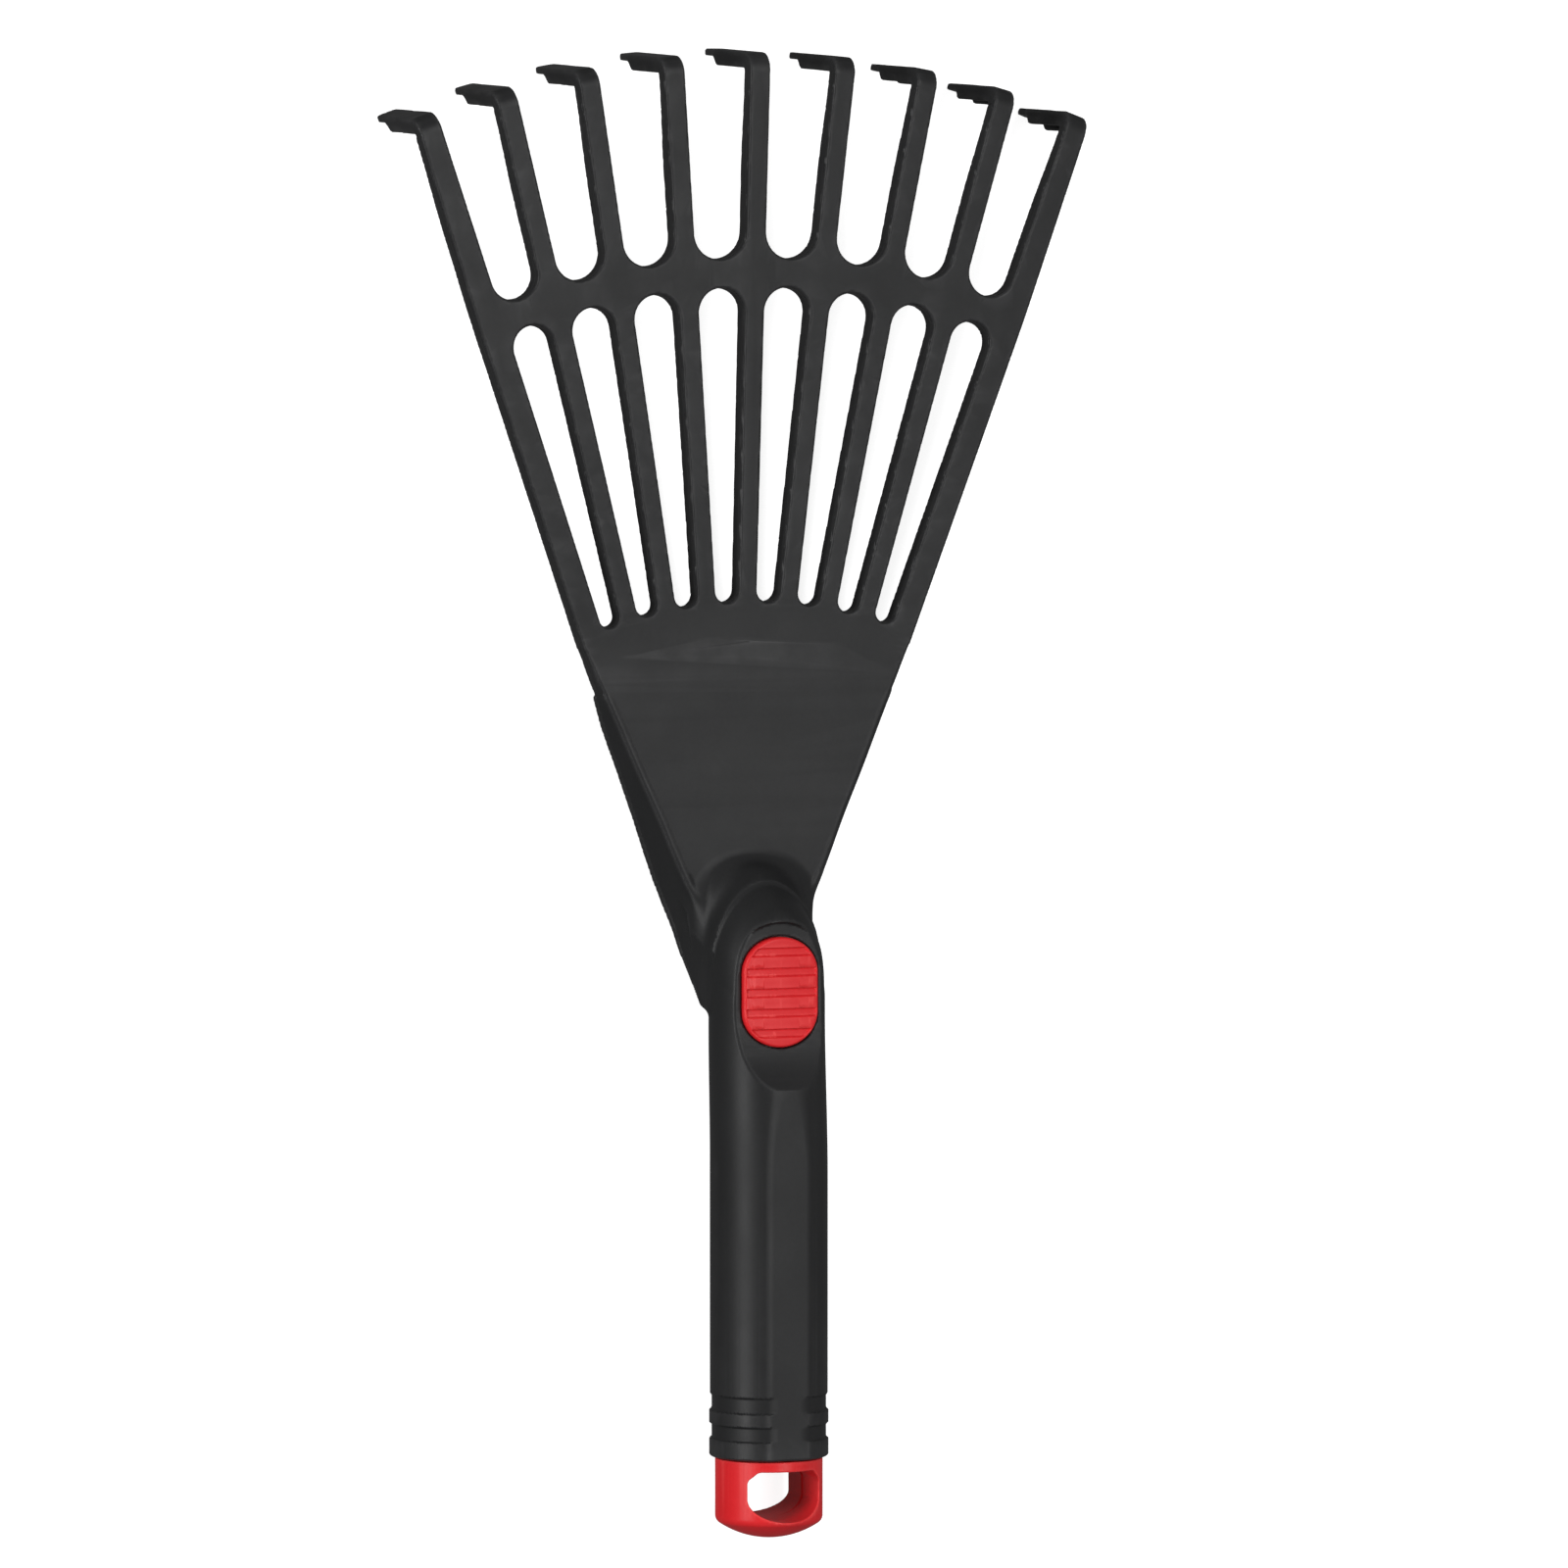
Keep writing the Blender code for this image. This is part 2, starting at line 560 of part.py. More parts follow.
def tine_half_width(radius):
    share = (radius - SLOT_LOW_R) / (TINE_TIP_R - SLOT_LOW_R)
    return mix(TINE_WIDTH_LOW, TINE_WIDTH_HIGH, share) / 2


def outer_half_width(radius):
    if radius < SLOT_HIGH_R:
        return mix(OUTER_EDGE[0], OUTER_EDGE[1], (radius - TINE_ROOT_R) / (SLOT_HIGH_R - TINE_ROOT_R))
    return mix(OUTER_EDGE[1], OUTER_EDGE[2], (radius - BAND_HIGH_R) / (TINE_TIP_R - BAND_HIGH_R))


def half_pitch(radius, number, side):
    """Half the distance to the next tine on that side, or None outside the outermost."""
    if abs(number + side) > TINE_SIDE_COUNT:
        return None
    turn = math.atan(TINE_SLOPE * (number + side)) - math.atan(TINE_SLOPE * number)
    return radius * math.tan(abs(turn) / 2)


def side_reach(radius, number, side):
    """How far the flange reaches sideways: narrow beside a slot, out to the next tine beside a web."""
    pitch = half_pitch(radius, number, side)
    if pitch is None:
        return outer_half_width(radius)
    opening = pitch - tine_half_width(radius)
    for low, high in ((SLOT_LOW_R, SLOT_HIGH_R), (BAND_HIGH_R, 2 * TINE_TIP_R)):
        if low <= radius <= high:
            into = min(radius - low, high - radius, opening)
            opening *= math.sqrt(max(0.0, 1.0 - (1.0 - into / opening) ** 2))
            return min(pitch - opening, pitch - GAP / 2)
    return pitch - GAP / 2


def tine_radii():
    """Stations along a tine, close together where a slot's end curves."""
    quarter = [1.0 - math.cos(math.radians(a)) for a in (0, 18, 36, 54, 72, 90)]
    radii = [TINE_ROOT_R, SLOT_LOW_R - 0.01]
    radii += [SLOT_LOW_R + SLOT_LOW_ROUND * q for q in quarter]
    radii += [176.0]
    radii += [SLOT_HIGH_R - SLOT_HIGH_ROUND * q for q in reversed(quarter)]
    radii += [SLOT_HIGH_R + 0.01, BAND_HIGH_R - 0.01]
    radii += [BAND_HIGH_R + GAP_ROUND * q for q in quarter]
    return radii


def tine_frames(number):
    """Front-face centre line of a tine: (position, sideways, backwards, radius along the fan)."""
    turn = math.atan(TINE_SLOPE * number)
    root_y = FAN_CENTRE_Y + TINE_ROOT_R * math.cos(turn)
    frames = []
    bend_start = TINE_TIP_R - HOOK_RADIUS
    for radius in tine_radii() + [250.0, bend_start]:
        x = radius * math.sin(turn)
        crown = (x * x - (TINE_ROOT_R * math.sin(turn)) ** 2) / (2 * FAN_RADIUS)
        z = plate_z(root_y) + TINE_LEAN * (radius - TINE_ROOT_R) - crown
        share = (radius - TINE_ROOT_R) / (bend_start - TINE_ROOT_R)
        tilt = x / FAN_RADIUS * share
        along = Vector((math.sin(turn), math.cos(turn), TINE_LEAN)).normalized()
        across = Vector((math.cos(turn) * math.cos(tilt), -math.sin(turn), -math.sin(tilt)))
        across = (across - across.dot(along) * along).normalized()
        position = Vector((x, FAN_CENTRE_Y + radius * math.cos(turn), z))
        frames.append((position, across, across.cross(along).normalized() * -1.0, radius))
    return frames, along


def hook_frames(start, along):
    """The bend and the straight hook after it, as more stations of the same kind."""
    position, across, back, radius = start
    frames = []
    for angle in (0.25, 0.5, 0.75, 1.0):
        turn = HOOK_TURN * angle
        point = position + HOOK_RADIUS * (math.sin(turn) * along + (1 - math.cos(turn)) * back)
        inward = math.cos(turn) * back - math.sin(turn) * along
        frames.append((point, across, inward, radius))
    heading = math.cos(HOOK_TURN) * along + math.sin(HOOK_TURN) * back
    end, _, inward, _ = frames[-1]
    length = HOOK_REACH - HOOK_RADIUS
    for run in (length - HOOK_RIB_STOP, length - HOOK_TIP_CHAMFER, length):
        frames.append((end + heading * run, across, inward, radius))
    return frames


def flange_ring(frame, left, right, thickness):
    position, across, back, _ = frame
    return [position - left * across, position + right * across,
            position + right * across + thickness * back,
            position - left * across + thickness * back]


def rib_ring(frame, depth):
    position, across, back, _ = frame
    half = RIB_WIDTH / 2
    top = TINE_THICKNESS - 0.5
    return [position - half * across + top * back, position + half * across + top * back,
            position + half * across + depth * back, position - half * across + depth * back]


def build_tine(number, parent, material):
    """One tine from the plate to its hook tip, with its share of the cross band."""
    straight, along = tine_frames(number)
    hook = hook_frames(straight[-1], along)
    flange = []
    for frame in straight:
        radius = frame[3]
        flange.append(flange_ring(frame, side_reach(radius, number, -1),
                                  side_reach(radius, number, 1), TINE_THICKNESS))
    left = side_reach(straight[-1][3], number, -1)
    right = side_reach(straight[-1][3], number, 1)
    for i, frame in enumerate(hook):
        trim = HOOK_TIP_CHAMFER if i == len(hook) - 1 else 0.0
        flange.append(flange_ring(frame, left - trim, right - trim, TINE_THICKNESS - 0.05 * i))
    tine = make_object(f"tine_{number + TINE_SIDE_COUNT + 1}", loft(flange), material, parent)
    rib = [rib_ring(frame, RIB_DEPTH) for frame in straight[:1] + straight[8:9] + straight[-2:-1]]
    rib += [rib_ring(frame, HOOK_RIB_DEPTH) for frame in straight[-1:] + hook[:4]]
    length = HOOK_REACH - HOOK_RADIUS
    stop = length - HOOK_RIB_STOP
    end, across, inward, radius = hook[3]
    heading = (hook[4][0] - end).normalized()
    rib.append(rib_ring((end + heading * (stop - 1.6), across, inward, radius), HOOK_RIB_DEPTH))
    rib.append(rib_ring((end + heading * stop, across, inward, radius), HOOK_RIB_DEPTH - 1.4))
    combine(tine, helper(f"{tine.name}_rib", loft(rib), parent), "UNION")


# ---------------------------------------------------------------- whole rake

def rest_pitch():
    """Angle that lays the outermost hook tips and the grip's first band on one floor."""
    straight, along = tine_frames(TINE_SIDE_COUNT)
    tip = hook_frames(straight[-1], along)[-1][0]
    return math.atan2(-BAND_RADIUS - tip.z, tip.y - BAND_EDGES_Y[0])


def lay_on_floor(frame, pieces):
    """Turn the rest frame, then put the origin under the middle of the rake, on the floor."""
    frame.rotation_euler = (rest_pitch(), 0.0, 0.0)
    bpy.context.view_layer.update()
    corners = [piece.matrix_world @ vertex.co for piece in pieces for vertex in piece.data.vertices]
    low = Vector([min(c[i] for c in corners) for i in range(3)])
    high = Vector([max(c[i] for c in corners) for i in range(3)])
    frame.matrix_world = Matrix.Translation((0.0, -(low.y + high.y) / 2, -low.z)) @ frame.matrix_world


def main():
    clear_scene()
    black = make_material("black_plastic", (0.030, 0.030, 0.032), 0.45)
    red = make_material("red_plastic", (0.62, 0.030, 0.035), 0.35)
    grey = make_material("grey_plastic", (0.22, 0.22, 0.23), 0.5)
    steel = make_material("spring_steel", (0.62, 0.62, 0.64), 0.3, 1.0)
    frame = bpy.data.objects.new("rest_frame", None)
    bpy.context.scene.collection.objects.link(frame)
    neck = bpy.data.objects.new("neck_frame", None)
    bpy.context.scene.collection.objects.link(neck)
    neck.parent = frame
    neck.location = (0.0, 0.0, -NECK_SET_BACK * MM)
    slider = bpy.data.objects.new("button_slide_axis", None)
    bpy.context.scene.collection.objects.link(slider)
    slider.parent = neck
    slider.location = (0.0, BUTTON_Y * MM, 0.0)
    build_grip_tube(frame, neck, black)
    build_fan_plate(frame, black)
    build_side_wall("side_wall_left", -1, frame, neck, black)
    build_side_wall("side_wall_right", 1, frame, neck, black)
    for number in range(-TINE_SIDE_COUNT, TINE_SIDE_COUNT + 1):
        build_tine(number, frame, black)
    build_end_cap(frame, red)
    build_button(slider, red)
    build_yoke(slider, grey)
    build_spring(neck, steel)
    solids = [piece for piece in bpy.data.objects if piece.type == "MESH" and not piece.hide_render]
    lay_on_floor(frame, solids)


main()
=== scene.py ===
"""Looks of the click-in hand rake: one soft-edged black moulding, a red button and a red plug.

Shapes are written in the tool's own frame, in millimetres: +X across the fan, +Y from the plug to the
tines, +Z out of the front face, with the grip's axis on X = 0, Z = 0. "field" functions give the signed
distance to a shape's surface (negative inside), and make_piece() turns a field into a closed mesh.
"""
import json
import math

import bpy
import numpy as np
from mathutils import Matrix, Vector


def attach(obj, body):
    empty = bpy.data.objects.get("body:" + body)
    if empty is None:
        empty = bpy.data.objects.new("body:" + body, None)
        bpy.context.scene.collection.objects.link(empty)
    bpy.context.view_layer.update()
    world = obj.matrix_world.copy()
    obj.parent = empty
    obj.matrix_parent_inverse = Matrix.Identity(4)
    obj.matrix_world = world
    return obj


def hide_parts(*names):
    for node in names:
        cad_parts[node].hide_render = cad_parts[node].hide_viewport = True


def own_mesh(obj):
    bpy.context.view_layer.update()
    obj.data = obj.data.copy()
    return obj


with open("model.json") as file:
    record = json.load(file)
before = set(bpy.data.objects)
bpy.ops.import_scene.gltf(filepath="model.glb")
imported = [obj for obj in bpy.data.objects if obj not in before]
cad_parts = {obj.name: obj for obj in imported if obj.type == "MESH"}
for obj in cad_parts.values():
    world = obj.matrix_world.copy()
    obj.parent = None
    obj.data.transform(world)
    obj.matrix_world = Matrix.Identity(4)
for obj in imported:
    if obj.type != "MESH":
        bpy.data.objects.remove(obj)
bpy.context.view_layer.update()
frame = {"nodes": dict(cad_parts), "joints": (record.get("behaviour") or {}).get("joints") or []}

MM = 0.001

# Grip tube
TUBE_RADIUS = 15.7
TUBE_RADIUS_AT_NECK = 15.5
MOUTH_Y = 20.8
BANDS = ((20.8, 15.3), (21.4, 15.9), (25.7, 15.9), (26.05, 15.25), (29.6, 15.25), (29.95, 15.9),
         (33.3, 15.9), (33.65, 15.25), (37.4, 15.25), (37.75, TUBE_RADIUS), (98.0, TUBE_RADIUS),
         (138.0, TUBE_RADIUS_AT_NECK))
BORE_RADIUS = 13.0
BORE_END_Y = 113.0
TANG_HOLE_RADIUS = 6.6
TANG_HOLE_Y = (112.0, 120.0)
BORE_LEAD = (0.6, 3.0)  # the bore's lead-in at the mouth: widening and length
MOUTH_ROUND = 0.5
BEND_Y = (98.0, 138.0)  # the grip's axis bends back between these
SET_BACK = 1.4

# Domed neck: at each height Z, a super-ellipse: start Y, length, half width, power
NECK_LEVELS = ((-13.2, 160.0, 19.2, 17.6, 2.4), (-10.7, 159.0, 19.8, 17.2, 2.4),
               (-6.5, 153.0, 24.0, 15.6, 2.0), (-1.0, 149.5, 23.8, 15.7, 1.9),
               (5.0, 146.0, 22.8, 14.6, 1.85), (9.0, 144.5, 20.2, 12.2, 1.85),
               (12.3, 143.0, 15.2, 9.0, 1.9), (15.5, 141.0, 7.0, 4.5, 2.0))
NECK_FLARE = 0.3  # the dome's sides open out again down the grip, clear of it
NECK_ROUND = 1.2  # where the dome cuts off the tube
SKIRT = (11.5, 149.0, 0.52)  # the neck's skirt leaves the tube: half width, Y, gain per mm of Y
SKIRT_Z = (-12.9, -2.0)
SKIRT_FILLET = 1.5
NECK_FILLET = 3.0

# Land, scoop and the pocket under the button, measured from the neck's own axis
LAND_Z = 8.65
LAND_WALL = 2.25
LAND_HALF_WIDTH = 14.0
LAND_TOP_Y = 163.8
LAND_ROUND = 13.5
RAMP_START_Y = 141.0
RAMP_RADIUS = 36.0
RAMP_SHARE = 0.6  # the ramp's arc runs this share of its radius down the grip
SCOOP_ROUND = 0.6
SCOOP_EDGE_ROUND = 0.45
CAVITY_Y = (118.0, 150.4)
CAVITY_ROUND = 11.6
CAVITY_HALF_WIDTH = 11.9
CAVITY_RADIUS = 13.2
CAVITY_FLOOR_Z = -13.0
CAVITY_ROUNDING = (1.0, 0.5)  # lengthwise corners, ends
SPRING_POST = (2.7, 3.0)  # radius and height
POCKET_EDGE_ROUND = 0.35

# Button
BUTTON_Y = 145.2
BUTTON_WIDTH = 21.5
BUTTON_LENGTH = 29.4
BUTTON_END = 9.6
BUTTON_TOP_Z = 10.4
BUTTON_ROUND = 0.9
BUTTON_CROWN = 0.0022  # fall of its top for each square millimetre off its middle line
BUTTON_FIT = 0.3
GROOVE_PITCH = 5.4
GROOVE_LENGTH = 2.1
GROOVE_STEPS = (-2.4, -2.1, -1.8, -0.35, -0.1, 0.1)  # along the button, from the steep side
GROOVE_DEPTHS = (0.0, 0.42, 0.12, 0.5, 0.64, 0.0)
GROOVE_COUNT = 5
GROOVE_FADE = (0.5, 0.7)  # where the grooves begin inside the button's edge, and over what width
LEG_X = (5.2, 6.8)
LEG_BARB_X = 7.7
LEG_Y = (140.0, 146.0)
LEG_DROP = 1.9
LEG_FILLET = 0.25
BARB_LEAD = (1.2, 0.1, 0.15)  # slope, set-in and rounding of the barb's sloping face
GAP = 0.3
BUTTON_TRAVEL = 3.0

# Yoke under the button
YOKE_PLATE = 2.2
YOKE_LIP = 0.75
YOKE_SIDE_PLAY = 0.2
YOKE_ROOT = 1.0  # ring and peg start this far inside the plate
YOKE_SLOT_PAST = 2.0  # the slots for the legs run this far past both faces
YOKE_RING_Y = (132.0, 135.0)
YOKE_RING_HALF_WIDTH = 8.6
YOKE_RING_RADIUS = 12.6
YOKE_RING_ROUNDING = (0.8, 0.35)  # outline, faces
YOKE_EYE = (6.4, -5.9, 3.2, 4.5)  # half width, bottom, top and end of the hole in the ring
YOKE_PEG_HEIGHT = 2.4
YOKE_FILLET = 0.6
YOKE_SLOT_ROUND = 0.2

# Spring
SPRING_Y = 153.0
SPRING_Z = (-12.0, 3.6)
SPRING_RADIUS = 3.9
SPRING_WIRE = 0.9
SPRING_TURNS = 6.5
SPRING_CLOSED = (0.8, 0.075)  # turns at each end with less climb, and their share of the climb
SPRING_STEPS = 36  # in a turn
SPRING_SIDES = 14
SPRING_SHARP = math.radians(50.0)

# End plug
CAP_RADIUS = 14.35
CAP_END_Y = -0.9
CAP_CORNER_Y = 3.9  # where the domed end meets the cap's side
SPIGOT_RADIUS = 12.65
SPIGOT_END_Y = 45.0
SPIGOT_WALL = 2.0
SPIGOT_SUNK = 1.5  # the spigot starts this far inside the cap
SPIGOT_FLOOR = 2.0  # and is hollow from this far beyond the tube's mouth
SPIGOT_ROUND = 0.8
SPIGOT_BEAD = (39.75, 1.8, 0.2)  # middle, half length and height
BEAD_FLANK = 1.2
CAP_ROUNDING = (0.9, 0.35, 0.45)  # dome, edge at the tube's mouth, rim of the hole
HOLE_HALF_WIDTH = 10.25
HOLE_Y = (4.3, 17.8)
HOLE_ROUND = 6.0
HOLE_CHAMFER = 2.4
HOLE_DRAFT = 0.022
HOLE_STEP = (0.3, 0.8)  # the hole's back half is this much tighter, after a slope this long

# Fan
FAN_CENTRE_Y = 118.4
TINE_SLOPE = 0.0908  # from each tine's direction to the next one's
TINE_TURNS = [math.atan(TINE_SLOPE * n) for n in range(5)]
TINE_ROOT_R = 126.15
SLOT_LOW_R = 129.4
SLOT_HIGH_R = 213.6
BAND_HIGH_R = 221.0
GAP_FAR_R = 340.0  # the gaps between the tines run on past the tips, to here
TINE_TIP_R = 275.5
TINE_WIDTH = (5.1, 5.8)  # at the root, at the tip
# How far the outer tine's outer edge is from its middle line, along the fan's radius
OUTER_EDGE = ((126.15, 4.1), (213.6, 4.3), (221.0, 4.3), (275.5, 3.3))
OUTER_TINE_Y = 236.0  # from here up the fan's edge is the outer tine's
TINE_THICKNESS = 2.0
HOOK_THICKNESS = 1.8
RIM_WIDTH = 1.3  # rims behind the edges of slots and tines
RIM_DEPTH = (5.2, 4.2)  # front face to the back of the rims: tines, hooks
RIM_CHANGE = (245.0, 24.0)  # from one to the other: radius and length
RIM_ROOT = 1.0  # the rims start this far behind the front face
RIM_DRAFT = 0.06
RIM_START_Y = 221.6  # the fan's outer rims start where the side walls end,
RIM_RUN_OUT = (1.4, 236.0, 12.0)  # this much deeper, up to this Y and over this length
TINE_LEAN = 0.062
LEAN_EASE = 6.0  # the change of slope is spread this far either side of the tine roots
FAN_RADIUS = 1300.0  # of the crown across the tines
OVERLAP = 0.2  # of a tine's straight length, its bend and its hook
HOOK_RADIUS = 4.8
HOOK_TURN = math.radians(91.5)
HOOK_REACH = 33.0
HOOK_RIM_STOP = 7.6  # the hook's rims slope down to nothing this far from its tip
HOOK_RIM_SLANT = (0.66, 0.75, 1.4)  # direction of that slope, along and back, and its set-in
HOOK_TIP_CHAMFER = 0.9

# Plate and side walls
PLATE_START_Y = 158.0
PLATE_THICKNESS = 2.2
THICKNESS_CHANGE = (120.0, 12.0)  # from the plate's to the tines': radius and length
PLATE_ORIGIN = (176.4, -10.7)  # Y and Z of a point on its front face, which falls by the lean
PLATE_LEAN = 0.052
PLATE_EDGE = ((150.0, 10.6), (158.0, 13.0), (165.0, 15.4), (173.0, 19.1), (181.0, 22.7), (190.0, 26.4),
              (204.0, 32.8), (216.0, 38.0), (228.4, 43.6), (236.0, 46.9))
PLATE_SOFT = (1.0, 0.55)  # rounding of the front edge: on the plate, on the tines
SOFT_CHANGE = (112.0, 20.0)  # from one to the other: radius and length
WALL_STATIONS = (  # along Y: X and Z of the upper edge, X and Z of the free rim
    (141.0, 15.6, -5.0, 16.2, -8.5),
    (147.5, 15.4, -5.5, 16.5, -14.5),
    (154.0, 14.8, -7.0, 17.1, -20.4),
    (162.0, 14.3, -9.6, 19.7, -21.4),
    (167.0, 16.1, -10.2, 21.7, -21.8),
    (173.0, 19.1, -10.6, 24.1, -22.0),
    (190.0, 26.4, -11.4, 30.3, -21.4),
    (204.0, 32.8, -12.2, 35.6, -20.7),
    (216.0, 38.0, -12.8, 40.4, -19.8),
    (224.0, 41.6, -13.2, 42.9, -19.0),
)
WALL_TOP = ((141.0, -3.5), (150.0, -4.0), (158.0, -6.0), (166.0, -9.5), (176.0, -10.9))
WALL_UNDER_PLATE = (176.0, 0.6)  # from this Y up the wall's top is this far below the plate's face
WALL_THICKNESS = 1.9
WALL_ENDS = (141.0, 223.6)
WALL_ROUNDING = (0.45, 0.5, 0.7, 0.8)  # long edges, free rim, ends, top
WALL_FILLET = 1.0
RIM_LIP = (1.2, 0.25, 0.5)  # height, stand-out and slope length of the bead along the free rim
PLATE_RIBS = (0, 2)  # tines whose line runs on as a rib down the plate's back
PLATE_RIB_HALF_WIDTH = 1.1
PLATE_RIB_START_R = 64.5
PLATE_RIB_END_R = 127.15
PLATE_RIB_SUNK = 1.2  # the ribs start this far behind the plate's front face
PLATE_RIB_DEPTH = 4.6
PLATE_RIB_ROUND = 0.45

# Common roundings of thin edges
FINE_ROUND = 0.3
EDGE_ROUND = 0.4
SOFT_ROUND = 0.5

# Factors that keep the slope of a slanted or stretched field near 1
DIAGONAL = 0.707
BAND_SCALE = 0.9
DOME_SCALE = 0.85
SKIRT_SCALE = 0.89
PLATE_SIDE_SCALE = 0.91
WALL_END_SCALE = 0.9
RAMP_SCALE = 0.9
BUTTON_TOP_SCALE = 0.85
BARB_SCALE = 0.64

# Stretches of Y that the moulding's parts reach, beyond which their fields are skipped
GRIP_TO_Y = 190.0
SHEET_FROM_Y = 140.0
WALL_TO_Y = 228.0
HOOKS_FROM_Y = 355.0
POCKET_TO_Y = 185.0
SLAB_EDGES = (60.0, 138.0, 160.0, 192.0, 226.0, 245.0, 300.0, 345.0)
FAR_OUTSIDE = 50.0

# Meshes: box of the field, grid pitch, share of the faces kept
HEAD_BOX = ((-100.0, 17.0, -50.0), (100.0, 405.0, 19.0))
HEAD_MESH = ((0.6, 0.33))
SMALL_PITCH = 1.0
CAP_BOX = ((-16.0, -2.0, -16.0), (16.0, 47.0, 16.0))
CAP_MESH = (0.42 * SMALL_PITCH, 0.3)
BUTTON_BOX = ((-13.0, 128.0, -3.0), (13.0, 162.0, 11.5))
BUTTON_MESH = (0.2 * SMALL_PITCH, 0.4)
YOKE_BOX = ((-13.5, 127.0, -13.5), (13.5, 163.0, 7.5))
YOKE_MESH = (0.4 * SMALL_PITCH, 0.3)


# ---- place in the frame

def joint_axis(name):
    return Vector(next(joint["axis"] for joint in frame["joints"] if joint["name"] == name))


def tool_frame():
    """Matrix from the tool's own frame, in metres, to the row frame. The plug is turned about the grip's
    axis, so its middle and the end of its dome place the frame."""
    along = -joint_axis("plug_pull").normalized()
    front = -joint_axis("button_press").normalized()
    across = along.cross(front)
    points = [vertex.co for vertex in frame["nodes"]["end_cap"].data.vertices]
    heights = [point.dot(front) for point in points]
    origin = along * (min(point.dot(along) for point in points) - CAP_END_Y * MM)
    origin += front * (max(heights) + min(heights)) / 2
    matrix = Matrix((across, along, front)).transposed().to_4x4()
    matrix.translation = origin
    return matrix


TOOL = tool_frame()


# ---- field helpers

def smooth_step(value):
    share = np.clip(value, 0.0, 1.0)
    return share * share * (3.0 - 2.0 * share)


def change(ends, value, start, length):
    """From ends[0] to ends[1], smoothly, as value runs on from start for a length."""
    return ends[0] + (ends[1] - ends[0]) * smooth_step((value - start) / length)


def round_union(first, second, radius):
    """Union with a concave fillet."""
    a = np.maximum(radius - first, 0.0)
    b = np.maximum(radius - second, 0.0)
    return np.maximum(radius, np.minimum(first, second)) - np.sqrt(a * a + b * b)


def round_cut(first, second, radius):
    """Intersection with a rounded edge."""
    return -round_union(-first, -second, radius)


def curve_through(points):
    """Smooth function through (x, y) points, with the tangents of a cardinal spline."""
    xs = np.array([point[0] for point in points], float)
    ys = np.array([point[1] for point in points], float)
    slopes = np.gradient(ys, xs)

    def read(x):
        i = np.clip(np.searchsorted(xs, x) - 1, 0, len(xs) - 2)
        step = xs[i + 1] - xs[i]
        t = np.clip((x - xs[i]) / step, 0.0, 1.0)
        t2 = t * t
        t3 = t2 * t
        return ((2 * t3 - 3 * t2 + 1) * ys[i] + (t3 - 2 * t2 + t) * step * slopes[i]
                + (3 * t2 - 2 * t3) * ys[i + 1] + (t3 - t2) * step * slopes[i + 1])
    return read


def columns(table):
    """One smooth function of the first column for each other column."""
    return [curve_through([(row[0], row[k]) for row in table]) for k in range(1, len(table[0]))]


def oblong(x, y, half_width, low_y, high_y, end):
    """Plan distance to an outline with straight sides and elliptical ends."""
    beyond = np.maximum(np.maximum(y - (high_y - end), (low_y + end) - y), 0.0)
    scale = half_width / end
    return np.hypot(x, beyond * scale) - half_width


def tapered_slot(x, y, angle, low, high):
    """Plan distance to a slot whose round ends are (radius along the fan, own radius), on a ray."""
    u = x * math.sin(angle) + y * math.cos(angle) - low[0]
    v = np.abs(x * math.cos(angle) - y * math.sin(angle))
    length = high[0] - low[0]
    taper = (low[1] - high[1]) / length
    run = math.sqrt(1.0 - taper * taper)
    along = u * run - v * taper
    side = u * taper + v * run
    low_end = np.hypot(u, v) - low[1]
    high_end = np.hypot(u - length, v) - high[1]
    return np.where(along < 0.0, low_end, np.where(along > length * run, high_end, side - low[1]))


# ---- surface from a field

BRICK = 4  # cells on a side of the smallest block of the grid
FIRST_BRICK = 16  # and of the largest
BRICKS_AT_ONCE = 3000
NEAR = 1.5  # a brick is kept if the surface is this many half diagonals away or less
FIELD_STEP = 0.02  # for slopes: where points are moved, where normals are made
NORMAL_STEP = 0.06
LEAST_SLOPE = 0.05  # squared, so that a step stays short where the field is flat
TINY = 1e-9
LARGE_FACE = 1.5  # in square millimetres
ALIKE = (0.93, 0.9945)  # cosines of the most and the least turn that is settled


def corner_grid(size):
    steps = np.arange(size)
    return np.stack(np.meshgrid(steps, steps, steps, indexing="ij"), -1).reshape(-1, 3)


def near_surface(field, low, pitch, bricks, side):
    """Those of the bricks, each this many cells wide, that may hold some of the surface."""
    middles = low + (bricks + 0.5) * side * pitch
    reach = NEAR * side * pitch * math.sqrt(3.0) / 2
    return bricks[np.abs(field(middles)) < reach]


def find_bricks(field, low, high, pitch):
    side = FIRST_BRICK
    counts = np.ceil((high - low) / (side * pitch)).astype(int)
    bricks = np.stack(np.meshgrid(*[np.arange(n) for n in counts], indexing="ij"), -1).reshape(-1, 3)
    bricks = near_surface(field, low, pitch, bricks, side)
    while side > BRICK:
        side //= 2
        bricks = (bricks[:, None, :] * 2 + corner_grid(2)[None]).reshape(-1, 3)
        bricks = near_surface(field, low, pitch, bricks, side)
    return bricks


def gradient(field, points, step=FIELD_STEP):
    slopes = []
    for axis in range(3):
        offset = np.zeros(3)
        offset[axis] = step
        slopes.append((field(points + offset) - field(points - offset)) / (2 * step))
    return np.stack(slopes, -1)


def unit(vectors):
    return vectors / np.maximum(np.sqrt((vectors * vectors).sum(1)), TINY)[:, None]


